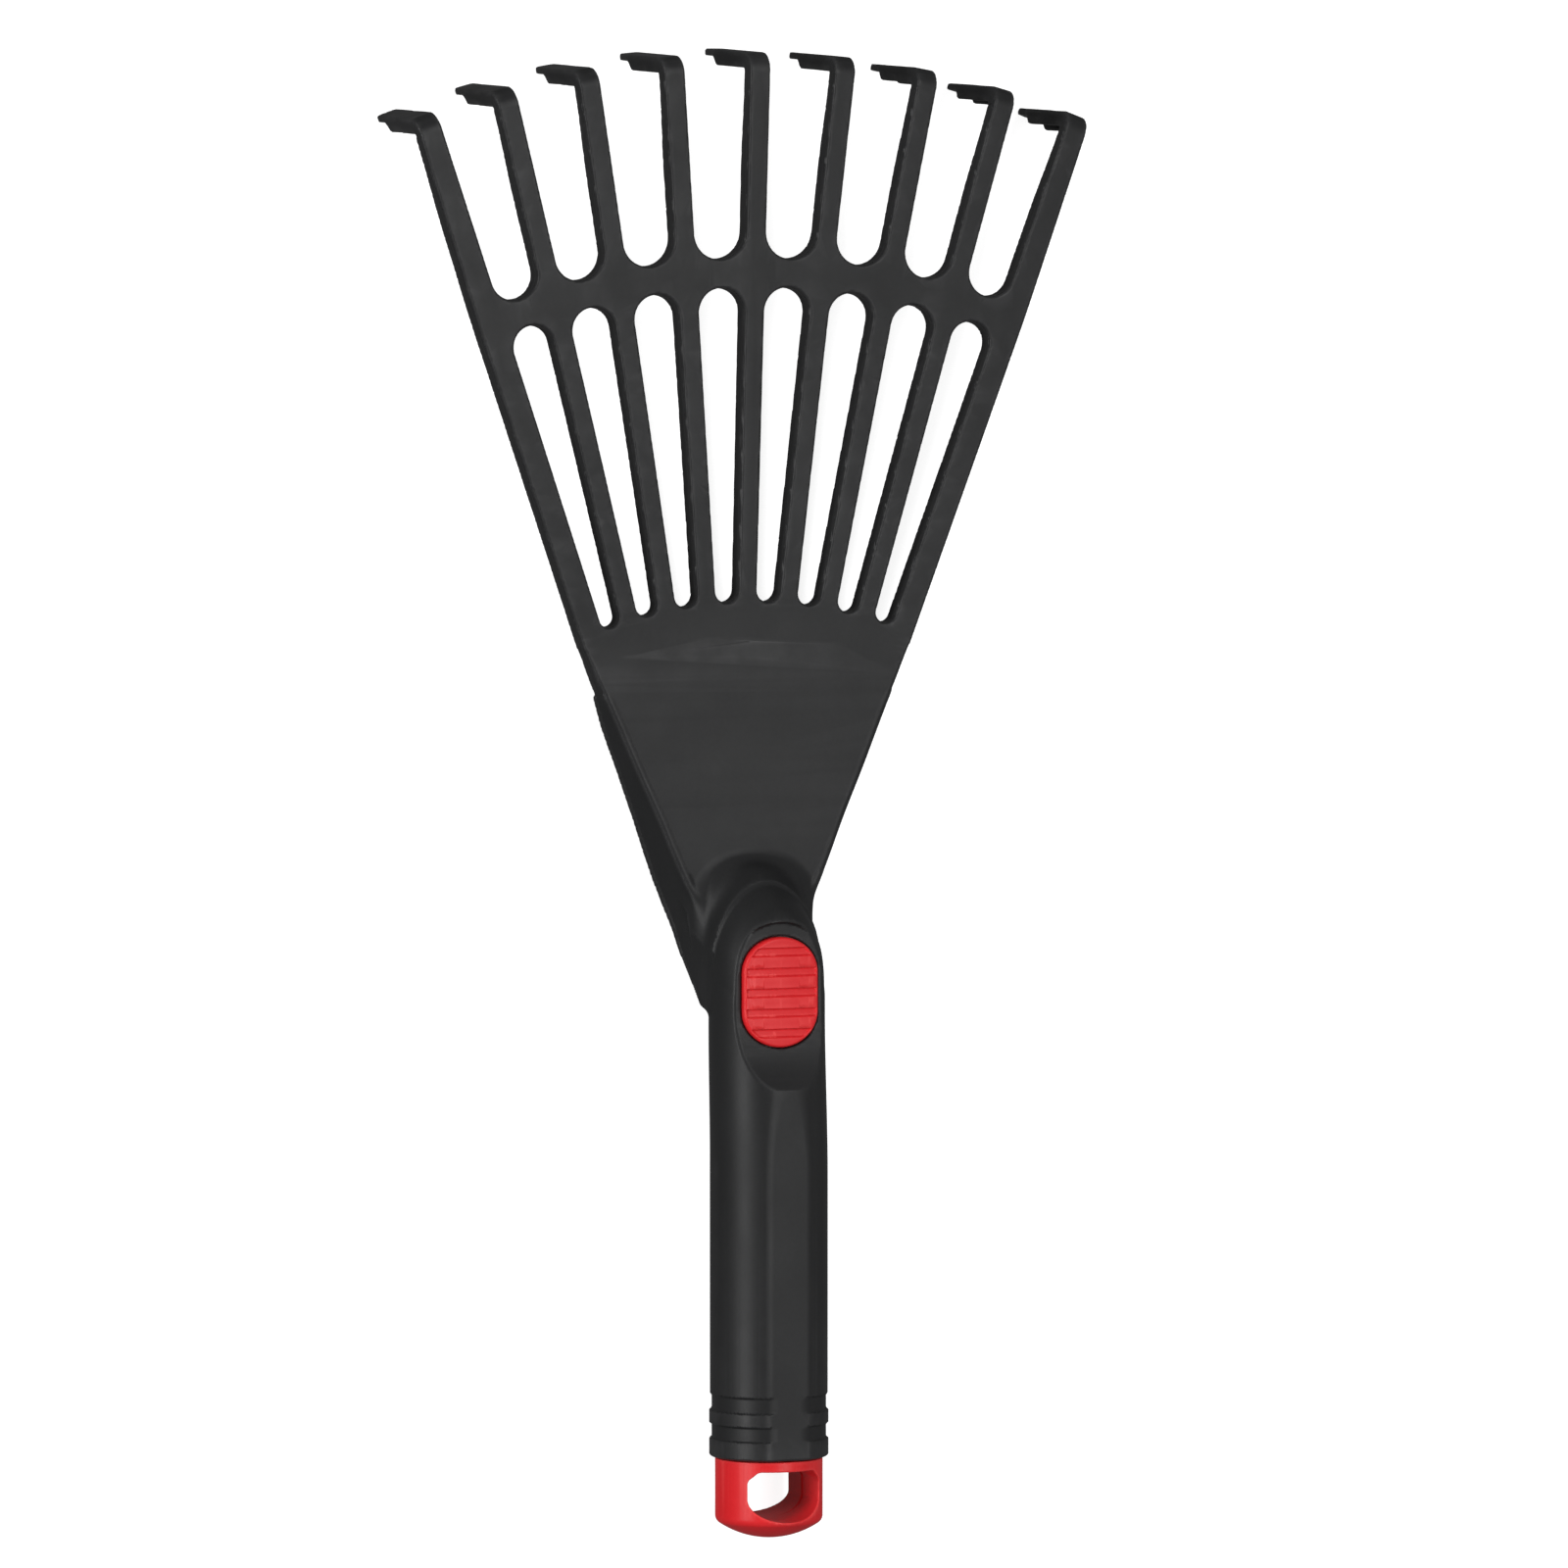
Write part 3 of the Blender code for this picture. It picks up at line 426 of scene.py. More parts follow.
def onto_surface(field, points, limit):
    """Move points along the field's slope onto its zero level."""
    for _ in range(2):
        slope = gradient(field, points)
        size = np.maximum((slope * slope).sum(1), LEAST_SLOPE)
        step = -slope * (field(points) / size)[:, None]
        length = np.sqrt((step * step).sum(1))
        points = points + step * np.minimum(1.0, limit / np.maximum(length, TINY))[:, None]
    return points


def crossings(values, axis):
    """Which grid edges along an axis cross the surface, and how far along."""
    here = [slice(None)] * 4
    here[axis + 1] = slice(0, BRICK)
    ahead = list(here)
    ahead[axis + 1] = slice(1, BRICK + 1)
    first = values[tuple(here)]
    second = values[tuple(ahead)]
    crossed = (first < 0.0) != (second < 0.0)
    with np.errstate(divide="ignore", invalid="ignore"):
        share = np.where(crossed, first / (first - second), 0.0)
    return crossed, share


def add_to_cells(total, count, crossed, share, axis):
    """Add each crossing to the four cells around its edge."""
    others = [k for k in range(3) if k != axis]
    for u in (0, 1):
        for v in (0, 1):
            cut = [slice(None)] * 4
            cut[others[0] + 1] = slice(u, u + BRICK)
            cut[others[1] + 1] = slice(v, v + BRICK)
            hit = crossed[tuple(cut)]
            count += hit
            total[..., axis] += share[tuple(cut)]
            total[..., others[0]] += hit * u
            total[..., others[1]] += hit * v


def quads_around(values, crossed, axis, base, stride):
    """A quad of cell numbers around each crossed edge, turned to face outwards."""
    own = tuple([slice(None)] + [slice(0, BRICK)] * 3)
    where = np.argwhere(crossed[own])
    cell = base[where[:, 0]] + where[:, 1:]
    around = [cell.copy() for _ in range(4)]
    first_other = (axis + 1) % 3
    second_other = (axis + 2) % 3
    around[0][:, first_other] -= 1
    around[0][:, second_other] -= 1
    around[1][:, second_other] -= 1
    around[3][:, first_other] -= 1
    ring = np.stack([(a + BRICK) @ stride for a in around], -1)
    outward = values[own][tuple(where.T)] < 0.0
    ring[~outward] = ring[~outward][:, ::-1]
    return ring


def surface_net(field, low, high, pitch):
    """Points and quads of the zero level: one point for each grid cell that the surface passes."""
    low = np.array(low, float)
    high = np.array(high, float)
    bricks = find_bricks(field, low, high, pitch)
    size = np.ceil((high - low) / pitch).astype(np.int64) + 8 * BRICK
    stride = np.array([size[1] * size[2], size[2], 1], np.int64)
    side = BRICK + 1
    corners = corner_grid(side)
    ids = []
    points = []
    quads = []
    for start in range(0, len(bricks), BRICKS_AT_ONCE):
        base = bricks[start:start + BRICKS_AT_ONCE] * BRICK
        places = base[:, None, :] + corners[None]
        values = field(low + places.reshape(-1, 3) * pitch).reshape(-1, side, side, side)
        total = np.zeros((len(base), BRICK, BRICK, BRICK, 3))
        count = np.zeros((len(base), BRICK, BRICK, BRICK))
        for axis in range(3):
            crossed, share = crossings(values, axis)
            add_to_cells(total, count, crossed, share, axis)
            quads.append(quads_around(values, crossed, axis, base, stride))
        used = np.argwhere(count > 0)
        cell = base[used[:, 0]] + used[:, 1:]
        ids.append((cell + BRICK) @ stride)
        index = tuple(used.T)
        points.append(low + (cell + total[index] / count[index][:, None]) * pitch)
    ids = np.concatenate(ids)
    order = np.argsort(ids)
    ids = ids[order]
    points = np.concatenate(points)[order]
    quads = np.searchsorted(ids, np.concatenate(quads))
    return onto_surface(field, points, pitch), quads


def new_mesh(name, points, faces):
    mesh = bpy.data.meshes.new(name)
    mesh.vertices.add(len(points))
    mesh.vertices.foreach_set("co", np.asarray(points, np.float32).ravel())
    corners = faces.shape[1]
    mesh.loops.add(faces.size)
    mesh.loops.foreach_set("vertex_index", faces.astype(np.int32).ravel())
    mesh.polygons.add(len(faces))
    mesh.polygons.foreach_set("loop_start", np.arange(0, faces.size, corners, dtype=np.int32))
    mesh.update(calc_edges=True)
    return mesh


def thin_out(mesh, keep):
    """The same surface with fewer faces: flat and straight stretches lose the most."""
    helper = bpy.data.objects.new("thin_out", mesh)
    bpy.context.scene.collection.objects.link(helper)
    modifier = helper.modifiers.new("thin_out", "DECIMATE")
    modifier.ratio = keep
    modifier.use_collapse_triangulate = True
    graph = bpy.context.evaluated_depsgraph_get()
    made = bpy.data.meshes.new_from_object(helper.evaluated_get(graph))
    bpy.data.objects.remove(helper)
    return made


def settle_normals(mesh, points, normals):
    """Where large flat faces meet the rounding of an edge, take the flat faces' own direction."""
    corners = np.zeros(len(mesh.polygons) * 3, np.int32)
    mesh.polygons.foreach_get("vertices", corners)
    corners = corners.reshape(-1, 3)
    first, second, third = (points[corners[:, k]] for k in range(3))
    facing = np.cross(second - first, third - first)
    area = np.sqrt((facing * facing).sum(1)) / 2
    total = np.zeros_like(points)
    largest = np.zeros(len(points))
    for k in range(3):
        np.add.at(total, corners[:, k], facing)
        np.maximum.at(largest, corners[:, k], area)
    total = unit(total)
    alike = (total * normals).sum(1)
    flat = (largest > LARGE_FACE) & (alike > ALIKE[0]) & (alike < ALIKE[1])
    return np.where(flat[:, None], total, normals)


def make_piece(name, field, box, pitch, keep):
    """A closed object from a field in the tool's frame, shaded with the field's own normals."""
    points, quads = surface_net(field, box[0], box[1], pitch)
    mesh = thin_out(new_mesh(name, points, quads), keep)
    points = np.zeros(len(mesh.vertices) * 3)
    mesh.vertices.foreach_get("co", points)
    points = onto_surface(field, points.reshape(-1, 3), pitch / 4)
    normals = unit(gradient(field, points, NORMAL_STEP))
    normals = settle_normals(mesh, points, normals)
    turn = np.array(TOOL.to_3x3())
    place = np.array(TOOL.translation)
    mesh.vertices.foreach_set("co", (points * MM @ turn.T + place).astype(np.float32).ravel())
    mesh.shade_smooth()
    mesh.normals_split_custom_set_from_vertices((normals @ turn.T).tolist())
    mesh.name = name
    piece = bpy.data.objects.new(name, mesh)
    bpy.context.scene.collection.objects.link(piece)
    return piece


# ---- head moulding

neck_start, neck_length, neck_half_width, neck_power = columns(NECK_LEVELS)
plate_half_width = curve_through(PLATE_EDGE)
wall_upper_x, wall_upper_z, wall_rim_x, wall_rim_z = columns(WALL_STATIONS)
wall_top_z = curve_through(WALL_TOP)


def set_back(y):
    return SET_BACK * smooth_step((y - BEND_Y[0]) / (BEND_Y[1] - BEND_Y[0]))


def plate_z(y):
    return PLATE_ORIGIN[1] - PLATE_LEAN * (y - PLATE_ORIGIN[0])


def grip_field(x, y, z):
    """Solid tube with its bands and its bend, cut off by the neck's dome."""
    radius = np.interp(y, [band[0] for band in BANDS], [band[1] for band in BANDS])
    tube = (np.hypot(x, z + set_back(y)) - radius) * BAND_SCALE
    tube = round_cut(tube, MOUTH_Y - y, MOUTH_ROUND)
    power = neck_power(z)
    start = neck_start(z)
    width = neck_half_width(z) + NECK_FLARE * np.maximum(start - y, 0.0)
    length = neck_length(z)
    run = np.maximum(y - start, 0.0)
    level = ((x / width) ** power + (run / length) ** power) ** (1.0 / power)
    dome = (level - 1.0) * np.minimum(width, length) * DOME_SCALE
    tube = round_cut(tube, dome, NECK_ROUND)
    emerging = (x - SKIRT[0] - SKIRT[2] * (y - SKIRT[1])) * SKIRT_SCALE
    skirt = np.maximum(np.maximum(dome, emerging), np.maximum(z - SKIRT_Z[1], SKIRT_Z[0] - z))
    return round_union(tube, skirt, SKIRT_FILLET)


def front_z(x, y):
    """Front face of plate, webs and tines: a plane, then a lean forward and a slight crown."""
    out = np.maximum(np.hypot(x, y), 1.0)
    beyond = out - TINE_ROOT_R
    easing = (beyond + LEAN_EASE) ** 2 / (4.0 * LEAN_EASE)
    beyond = np.where(np.abs(beyond) < LEAN_EASE, easing, np.maximum(beyond, 0.0))
    root = (out - beyond) / out
    crown = x * x * (1.0 - root * root) / (2.0 * FAN_RADIUS)
    return plate_z(FAN_CENTRE_Y + y * root) + TINE_LEAN * beyond - crown


def tine_half_width(radius):
    share = (radius - SLOT_LOW_R) / (TINE_TIP_R - SLOT_LOW_R)
    return (TINE_WIDTH[0] + (TINE_WIDTH[1] - TINE_WIDTH[0]) * share) / 2


def slot_ends():
    """For each space between tines, its ray's angle and the round ends of its slot and of its gap."""
    spaces = []
    for first, second in zip(TINE_TURNS, TINE_TURNS[1:]):
        spread = math.sin((second - first) / 2)
        low = (SLOT_LOW_R * spread - tine_half_width(SLOT_LOW_R)) / (1.0 - spread)
        high = (SLOT_HIGH_R * spread - tine_half_width(SLOT_HIGH_R)) / (1.0 + spread)
        root = (BAND_HIGH_R * spread - tine_half_width(BAND_HIGH_R)) / (1.0 - spread)
        far = GAP_FAR_R * spread - tine_half_width(GAP_FAR_R)
        spaces.append(((first + second) / 2, (SLOT_LOW_R + low, low), (SLOT_HIGH_R - high, high),
                       (BAND_HIGH_R + root, root), (GAP_FAR_R, far)))
    return spaces


SPACES = slot_ends()


def sheet_field(x, y, z):
    """Plate, webs and the tines' straight lengths. y is measured from the fan's centre."""
    out = np.hypot(x, y)
    height = z - front_z(x, y)
    side = (x - plate_half_width(y + FAN_CENTRE_Y)) * PLATE_SIDE_SCALE
    outer_turn = TINE_TURNS[-1]
    outer = x * math.cos(outer_turn) - y * math.sin(outer_turn)
    outer = outer - np.interp(out, [edge[0] for edge in OUTER_EDGE], [edge[1] for edge in OUTER_EDGE])
    side = np.where(y + FAN_CENTRE_Y < OUTER_TINE_Y, side, outer)
    for angle, low, high, root, far in SPACES:
        side = np.maximum(side, -tapered_slot(x, y, angle, low, high))
        side = np.maximum(side, -tapered_slot(x, y, angle, root, far))
    ends = np.maximum(out - TINE_TIP_R + HOOK_RADIUS - OVERLAP, PLATE_START_Y - FAN_CENTRE_Y - y)
    thickness = change((PLATE_THICKNESS, TINE_THICKNESS), out, *THICKNESS_CHANGE)
    front = round_cut(height, side, change(PLATE_SOFT, out, *SOFT_CHANGE))
    sheet = round_cut(front, -height - thickness, EDGE_ROUND)
    side = side + RIM_DRAFT * np.minimum(height, 0.0)
    depth = change(RIM_DEPTH, out, *RIM_CHANGE)
    depth += RIM_RUN_OUT[0] * smooth_step((RIM_RUN_OUT[1] - FAN_CENTRE_Y - y) / RIM_RUN_OUT[2])
    rim = round_cut(side, -side - RIM_WIDTH, FINE_ROUND)
    rim = round_cut(rim, -height - depth, EDGE_ROUND)
    rim = np.maximum(rim, np.maximum(height + RIM_ROOT, RIM_START_Y - FAN_CENTRE_Y - y))
    return np.maximum(round_union(sheet, rim, EDGE_ROUND), ends)


def wall_field(x, y, z):
    """One side wall: a splayed sheet from the plate's edge to its beaded rim."""
    upper_x, upper_z = wall_upper_x(y), wall_upper_z(y)
    run_x, run_z = wall_rim_x(y) - upper_x, wall_rim_z(y) - upper_z
    length = np.hypot(run_x, run_z)
    run_x, run_z = run_x / length, run_z / length
    out = -(x - upper_x) * run_z + (z - upper_z) * run_x
    above_rim = z - wall_rim_z(y)
    outside = out - RIM_LIP[1] * (1.0 - smooth_step((above_rim - RIM_LIP[0]) / RIM_LIP[2]))
    top = np.where(y > WALL_UNDER_PLATE[0], plate_z(y) - WALL_UNDER_PLATE[1], wall_top_z(y))
    wall = round_cut(outside, -out + WALL_THICKNESS * run_z, WALL_ROUNDING[0])
    wall = round_cut(wall, -above_rim, WALL_ROUNDING[1])
    ends = np.maximum(y - WALL_ENDS[1], WALL_ENDS[0] - y)
    wall = round_cut(wall, ends * WALL_END_SCALE, WALL_ROUNDING[2])
    return round_cut(wall, z - top, WALL_ROUNDING[3])


def hook_axes(number):
    """Where a tine's straight length ends: origin, along the tine, across it, and back from its face."""
    turn = TINE_TURNS[number]
    bend_r = TINE_TIP_R - HOOK_RADIUS

    def place(radius, side):
        x = radius * math.sin(turn) + side * math.cos(turn)
        y = radius * math.cos(turn) - side * math.sin(turn)
        return np.array([x, y, float(front_z(np.array([x]), np.array([y]))[0])])
    origin = place(bend_r, 0.0)
    along = place(bend_r + 0.5, 0.0) - place(bend_r - 0.5, 0.0)
    along = along / np.linalg.norm(along)
    across = place(bend_r, 0.5) - place(bend_r, -0.5)
    across = across - across.dot(along) * along
    across = across / np.linalg.norm(across)
    return origin, along, across, np.cross(along, across)


HOOKS = [hook_axes(number) for number in range(len(TINE_TURNS))]


def bar_field(reach, into, thickness, rim_stop):
    """A channel: flat face at 0, sides where reach is 0, open behind between two rims."""
    bar = round_cut(round_cut(reach, -into, SOFT_ROUND), into - thickness, EDGE_ROUND)
    rim_side = reach - RIM_DRAFT * np.maximum(into, 0.0)
    rim = round_cut(rim_side, -rim_side - RIM_WIDTH, FINE_ROUND)
    rim = round_cut(rim, into - RIM_DEPTH[1], EDGE_ROUND)
    rim = round_cut(rim, rim_stop, SOFT_ROUND)
    return round_union(bar, np.maximum(rim, RIM_ROOT - into), EDGE_ROUND)


def hook_field(x, y, z, number):
    """Bend and hook of one tine. y is measured from the fan's centre."""
    origin, along_axis, across_axis, back_axis = HOOKS[number]
    dx, dy, dz = x - origin[0], y - origin[1], z - origin[2]
    along = dx * along_axis[0] + dy * along_axis[1] + dz * along_axis[2]
    across = dx * across_axis[0] + dy * across_axis[1] + dz * across_axis[2]
    deep = dx * back_axis[0] + dy * back_axis[1] + dz * back_axis[2]
    half = tine_half_width(TINE_TIP_R)
    outer = OUTER_EDGE[-1][1] if number == len(TINE_TURNS) - 1 else half
    reach = np.maximum(across - outer, -across - half)

    into = HOOK_RADIUS - np.hypot(along, HOOK_RADIUS - deep)
    past_x = along - HOOK_RADIUS * math.sin(HOOK_TURN)
    past_z = deep - HOOK_RADIUS * (1.0 - math.cos(HOOK_TURN))
    down = past_x * math.cos(HOOK_TURN) + past_z * math.sin(HOOK_TURN)
    no_stop = np.full(len(x), -FAR_OUTSIDE)
    bend = bar_field(reach, into, TINE_THICKNESS, no_stop)
    bend = np.maximum(bend, np.maximum(-along - OVERLAP, down - OVERLAP / 2))

    into = -past_x * math.sin(HOOK_TURN) + past_z * math.cos(HOOK_TURN)
    length = HOOK_REACH - HOOK_RADIUS
    corner = (reach + down - length + HOOK_TIP_CHAMFER) * DIAGONAL
    blade = round_cut(reach, corner, EDGE_ROUND)
    thickness = TINE_THICKNESS + (HOOK_THICKNESS - TINE_THICKNESS) * np.clip(down / length, 0.0, 1.0)
    slope = (down - length + HOOK_RIM_STOP) * HOOK_RIM_SLANT[0]
    slope = slope + (into - RIM_DEPTH[1] + HOOK_RIM_SLANT[2]) * HOOK_RIM_SLANT[1]
    hook = round_cut(bar_field(blade, into, thickness, slope), down - length, EDGE_ROUND)
    return np.minimum(bend, np.maximum(hook, -down - OVERLAP / 2))


def plate_rib_field(x, y, z, number):
    turn = TINE_TURNS[number]
    out = x * math.sin(turn) + y * math.cos(turn)
    side = np.abs(x * math.cos(turn) - y * math.sin(turn)) - PLATE_RIB_HALF_WIDTH
    depth = plate_z(y + FAN_CENTRE_Y) - z
    rib = round_cut(side, depth - PLATE_RIB_DEPTH, PLATE_RIB_ROUND)
    rib = np.maximum(rib, PLATE_RIB_SUNK - depth)
    return np.maximum(rib, np.maximum(PLATE_RIB_START_R - out, out - PLATE_RIB_END_R))


def scoop_field(x, y, z):
    """The space above the land and its ramp, inside the arch. z is from the neck's own axis."""
    ramp = np.clip(RAMP_START_Y - y, 0.0, RAMP_RADIUS * RAMP_SHARE)
    floor = LAND_Z + RAMP_RADIUS - np.sqrt(RAMP_RADIUS ** 2 - ramp ** 2)
    arch_y = np.maximum(y - (LAND_TOP_Y - LAND_ROUND), 0.0) * LAND_HALF_WIDTH / LAND_ROUND
    arch = np.hypot(x, arch_y) - LAND_HALF_WIDTH
    return round_cut((floor - z) * RAMP_SCALE, arch, SCOOP_ROUND)


def pocket_field(x, y, z):
    """Bore, tang hole, cavity and window. z is from the neck's own axis beyond the bore."""
    bore_z = z - set_back(y)
    bore = np.maximum(np.hypot(x, bore_z) - BORE_RADIUS, y - BORE_END_Y)
    lead = np.hypot(x, bore_z) - BORE_RADIUS - BORE_LEAD[0] + np.maximum(y - MOUTH_Y, 0.0)
    bore = np.minimum(bore, np.maximum(lead * DIAGONAL, y - MOUTH_Y - BORE_LEAD[1]))
    tang_ends = np.maximum(TANG_HOLE_Y[0] - y, y - TANG_HOLE_Y[1])
    tang = np.maximum(np.hypot(x, bore_z) - TANG_HOLE_RADIUS, tang_ends)
    end = np.maximum(y - CAVITY_Y[1], 0.0) * CAVITY_HALF_WIDTH / CAVITY_ROUND
    cavity = round_cut(np.hypot(x, end) - CAVITY_HALF_WIDTH, np.hypot(x, z) - CAVITY_RADIUS,
                       CAVITY_ROUNDING[0])
    levels = np.maximum(z - LAND_Z + LAND_WALL, CAVITY_FLOOR_Z - z)
    cavity = round_cut(cavity, np.maximum(levels, CAVITY_Y[0] - y), CAVITY_ROUNDING[1])
    post = np.maximum(np.hypot(x, y - SPRING_Y) - SPRING_POST[0], z - CAVITY_FLOOR_Z - SPRING_POST[1])
    cavity = round_cut(cavity, -post, FINE_ROUND)
    half = BUTTON_LENGTH / 2 + BUTTON_FIT
    window = oblong(x, y, BUTTON_WIDTH / 2 + BUTTON_FIT, BUTTON_Y - half, BUTTON_Y + half,
                    BUTTON_END + BUTTON_FIT)
    window = np.maximum(window, -z)
    return np.minimum(np.minimum(bore, tang), np.minimum(cavity, window))


def head_field(points):
    x = np.abs(points[:, 0])
    y = points[:, 1]
    z = points[:, 2]
    from_centre = y - FAN_CENTRE_Y
    solid = np.full(len(x), FAR_OUTSIDE)
    low_y, high_y = y.min(), y.max()
    if low_y < GRIP_TO_Y:
        solid = grip_field(x, y, z)
    if high_y > SHEET_FROM_Y:
        sheet = sheet_field(x, from_centre, z)
        if low_y < WALL_TO_Y:
            sheet = round_union(sheet, wall_field(x, y, z), WALL_FILLET)
            for number in PLATE_RIBS:
                sheet = round_union(sheet, plate_rib_field(x, from_centre, z, number), SOFT_ROUND)
        if high_y > HOOKS_FROM_Y:
            for number in range(len(TINE_TURNS)):
                sheet = np.minimum(sheet, hook_field(x, from_centre, z, number))
        solid = round_union(solid, sheet, NECK_FILLET)
    if low_y < POCKET_TO_Y:
        neck_z = z + SET_BACK
        solid = round_cut(solid, -scoop_field(x, y, neck_z), SCOOP_EDGE_ROUND)
        solid = round_cut(solid, -pocket_field(x, y, neck_z), POCKET_EDGE_ROUND)
    return solid


def in_slabs(field):
    """The same field, read a stretch of Y at a time."""
    def read(points):
        values = np.zeros(len(points))
        slab = np.searchsorted(SLAB_EDGES, points[:, 1])
        for number in range(len(SLAB_EDGES) + 1):
            here = slab == number
            if here.any():
                values[here] = field(points[here])
        return values
    return read


def build_head():
    head = make_piece("head_moulding", in_slabs(head_field), HEAD_BOX, *HEAD_MESH)
    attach(head, "head")
    black_nodes = [node for node in frame["nodes"] if node.startswith(("tine_", "side_wall_"))]
    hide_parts("grip_tube", "fan_plate", *black_nodes)
    return head


# ---- plug, button, yoke and spring

def hanging_hole(x, y, z):
    """D-shaped hole, a little wider towards both faces, with a step half way through."""
    step = HOLE_STEP[0] * smooth_step(-z / HOLE_STEP[1])
    half = HOLE_HALF_WIDTH - step - HOLE_DRAFT * (CAP_RADIUS - np.abs(z))
    low = HOLE_Y[0] + HOLE_ROUND
    below = np.maximum(low - y, 0.0) * half / HOLE_ROUND
    sides = np.hypot(x, below) - half
    chamfer = (x - half + y - HOLE_Y[1] + HOLE_CHAMFER) * DIAGONAL
    return round_cut(round_cut(sides, y - HOLE_Y[1], FINE_ROUND), chamfer, SOFT_ROUND)


def cap_field(points):
    x, y, z = np.abs(points[:, 0]), points[:, 1], points[:, 2]
    around = np.hypot(x, z)
    rise = CAP_CORNER_Y - CAP_END_Y
    dome_radius = (CAP_RADIUS ** 2 + rise ** 2) / (2 * rise)
    middle = CAP_END_Y + dome_radius
    dome = np.where(y < middle, np.hypot(around, y - middle), around) - dome_radius
    cap = round_cut(around - CAP_RADIUS, dome, CAP_ROUNDING[0])
    cap = round_cut(cap, y - MOUTH_Y + GAP, CAP_ROUNDING[1])
    cap = round_cut(cap, -hanging_hole(x, y, z), CAP_ROUNDING[2])
    off_bead = np.abs(y - SPIGOT_BEAD[0]) - SPIGOT_BEAD[1]
    bead = SPIGOT_BEAD[2] * (1.0 - smooth_step((off_bead + BEAD_FLANK / 2) / BEAD_FLANK))
    spigot = round_cut(around - SPIGOT_RADIUS - bead, y - SPIGOT_END_Y, SPIGOT_ROUND)
    spigot = np.maximum(spigot, MOUTH_Y - SPIGOT_SUNK - y)
    hollow = round_cut(around - SPIGOT_RADIUS + SPIGOT_WALL, MOUTH_Y + SPIGOT_FLOOR - y, SPIGOT_ROUND)
    return np.minimum(cap, round_cut(spigot, -hollow, FINE_ROUND))


def button_top(x, y):
    """Height of the button's top: slightly crowned, with sawtooth grooves that stop inside its rim."""
    depth = np.zeros(len(y))
    for k in range(GROOVE_COUNT):
        steep = BUTTON_Y + (k - (GROOVE_COUNT - 1) / 2) * GROOVE_PITCH + GROOVE_LENGTH / 2
        depth += np.interp(y - steep, GROOVE_STEPS, GROOVE_DEPTHS)
    half = BUTTON_LENGTH / 2
    inside = -oblong(x, y, BUTTON_WIDTH / 2, BUTTON_Y - half, BUTTON_Y + half, BUTTON_END)
    fade = smooth_step((inside - GROOVE_FADE[0]) / GROOVE_FADE[1])
    return BUTTON_TOP_Z - depth * fade - BUTTON_CROWN * x * x


def block_field(x, y, z, low, high):
    """Plain block with sharp edges."""
    flat = np.maximum(np.maximum(low[0] - x, x - high[0]), np.maximum(low[1] - y, y - high[1]))
    return np.maximum(flat, np.maximum(low[2] - z, z - high[2]))


def button_field(points):
    x, y, z = np.abs(points[:, 0]), points[:, 1], points[:, 2] + SET_BACK
    half = BUTTON_LENGTH / 2
    side = oblong(x, y, BUTTON_WIDTH / 2, BUTTON_Y - half, BUTTON_Y + half, BUTTON_END)
    under = LAND_Z - LAND_WALL
    body = round_cut(side, (z - button_top(x, y)) * BUTTON_TOP_SCALE, BUTTON_ROUND)
    body = round_cut(body, under - z, FINE_ROUND)
    floor = under - GAP - YOKE_PLATE
    shank = block_field(x, y, z, (LEG_X[0], LEG_Y[0], floor - LEG_DROP), (LEG_X[1], LEG_Y[1], LAND_Z))
    barb = block_field(x, y, z, (LEG_X[0], LEG_Y[0], floor - LEG_DROP),
                       (LEG_BARB_X, LEG_Y[1], floor - GAP))
    lead = (x + (floor - LEG_DROP - z) * BARB_LEAD[0] - LEG_X[1] + BARB_LEAD[1]) * BARB_SCALE
    barb = round_cut(barb, lead, BARB_LEAD[2])
    return round_union(body, np.minimum(shank, barb), LEG_FILLET)


def yoke_field(points):
    x, y, z = np.abs(points[:, 0]), points[:, 1], points[:, 2] + SET_BACK
    top = LAND_Z - LAND_WALL - GAP
    reach = BUTTON_FIT + YOKE_LIP
    half = BUTTON_LENGTH / 2 + reach
    side = oblong(x, y, BUTTON_WIDTH / 2 + reach - YOKE_SIDE_PLAY, BUTTON_Y - half, BUTTON_Y + half,
                  BUTTON_END + reach)
    plate = round_cut(round_cut(side, z - top, EDGE_ROUND), top - YOKE_PLATE - z, EDGE_ROUND)
    ring = round_cut(x - YOKE_RING_HALF_WIDTH, np.hypot(x, z - BUTTON_TRAVEL) - YOKE_RING_RADIUS,
                     YOKE_RING_ROUNDING[0])
    ring = np.maximum(ring, z - top + YOKE_ROOT)
    eye_half, eye_low, eye_high, eye_end = YOKE_EYE
    eye = oblong(x, z, eye_half, eye_low, eye_high, eye_end)
    faces = np.maximum(YOKE_RING_Y[0] - y, y - YOKE_RING_Y[1])
    ring = round_cut(round_cut(ring, -eye, EDGE_ROUND), faces, YOKE_RING_ROUNDING[1])
    peg = np.hypot(x, y - SPRING_Y) - SPRING_POST[0]
    peg = round_cut(peg, top - YOKE_PLATE - YOKE_PEG_HEIGHT - z, EDGE_ROUND)
    peg = np.maximum(peg, z - top + YOKE_ROOT)
    yoke = round_union(np.minimum(plate, peg), ring, YOKE_FILLET)
    slot = block_field(x, y, z, (LEG_X[0] - GAP, LEG_Y[0] - GAP, top - YOKE_PLATE - YOKE_SLOT_PAST),
                       (LEG_X[1] + GAP, LEG_Y[1] + GAP, top + YOKE_SLOT_PAST))
    return round_cut(yoke, -slot, YOKE_SLOT_ROUND)


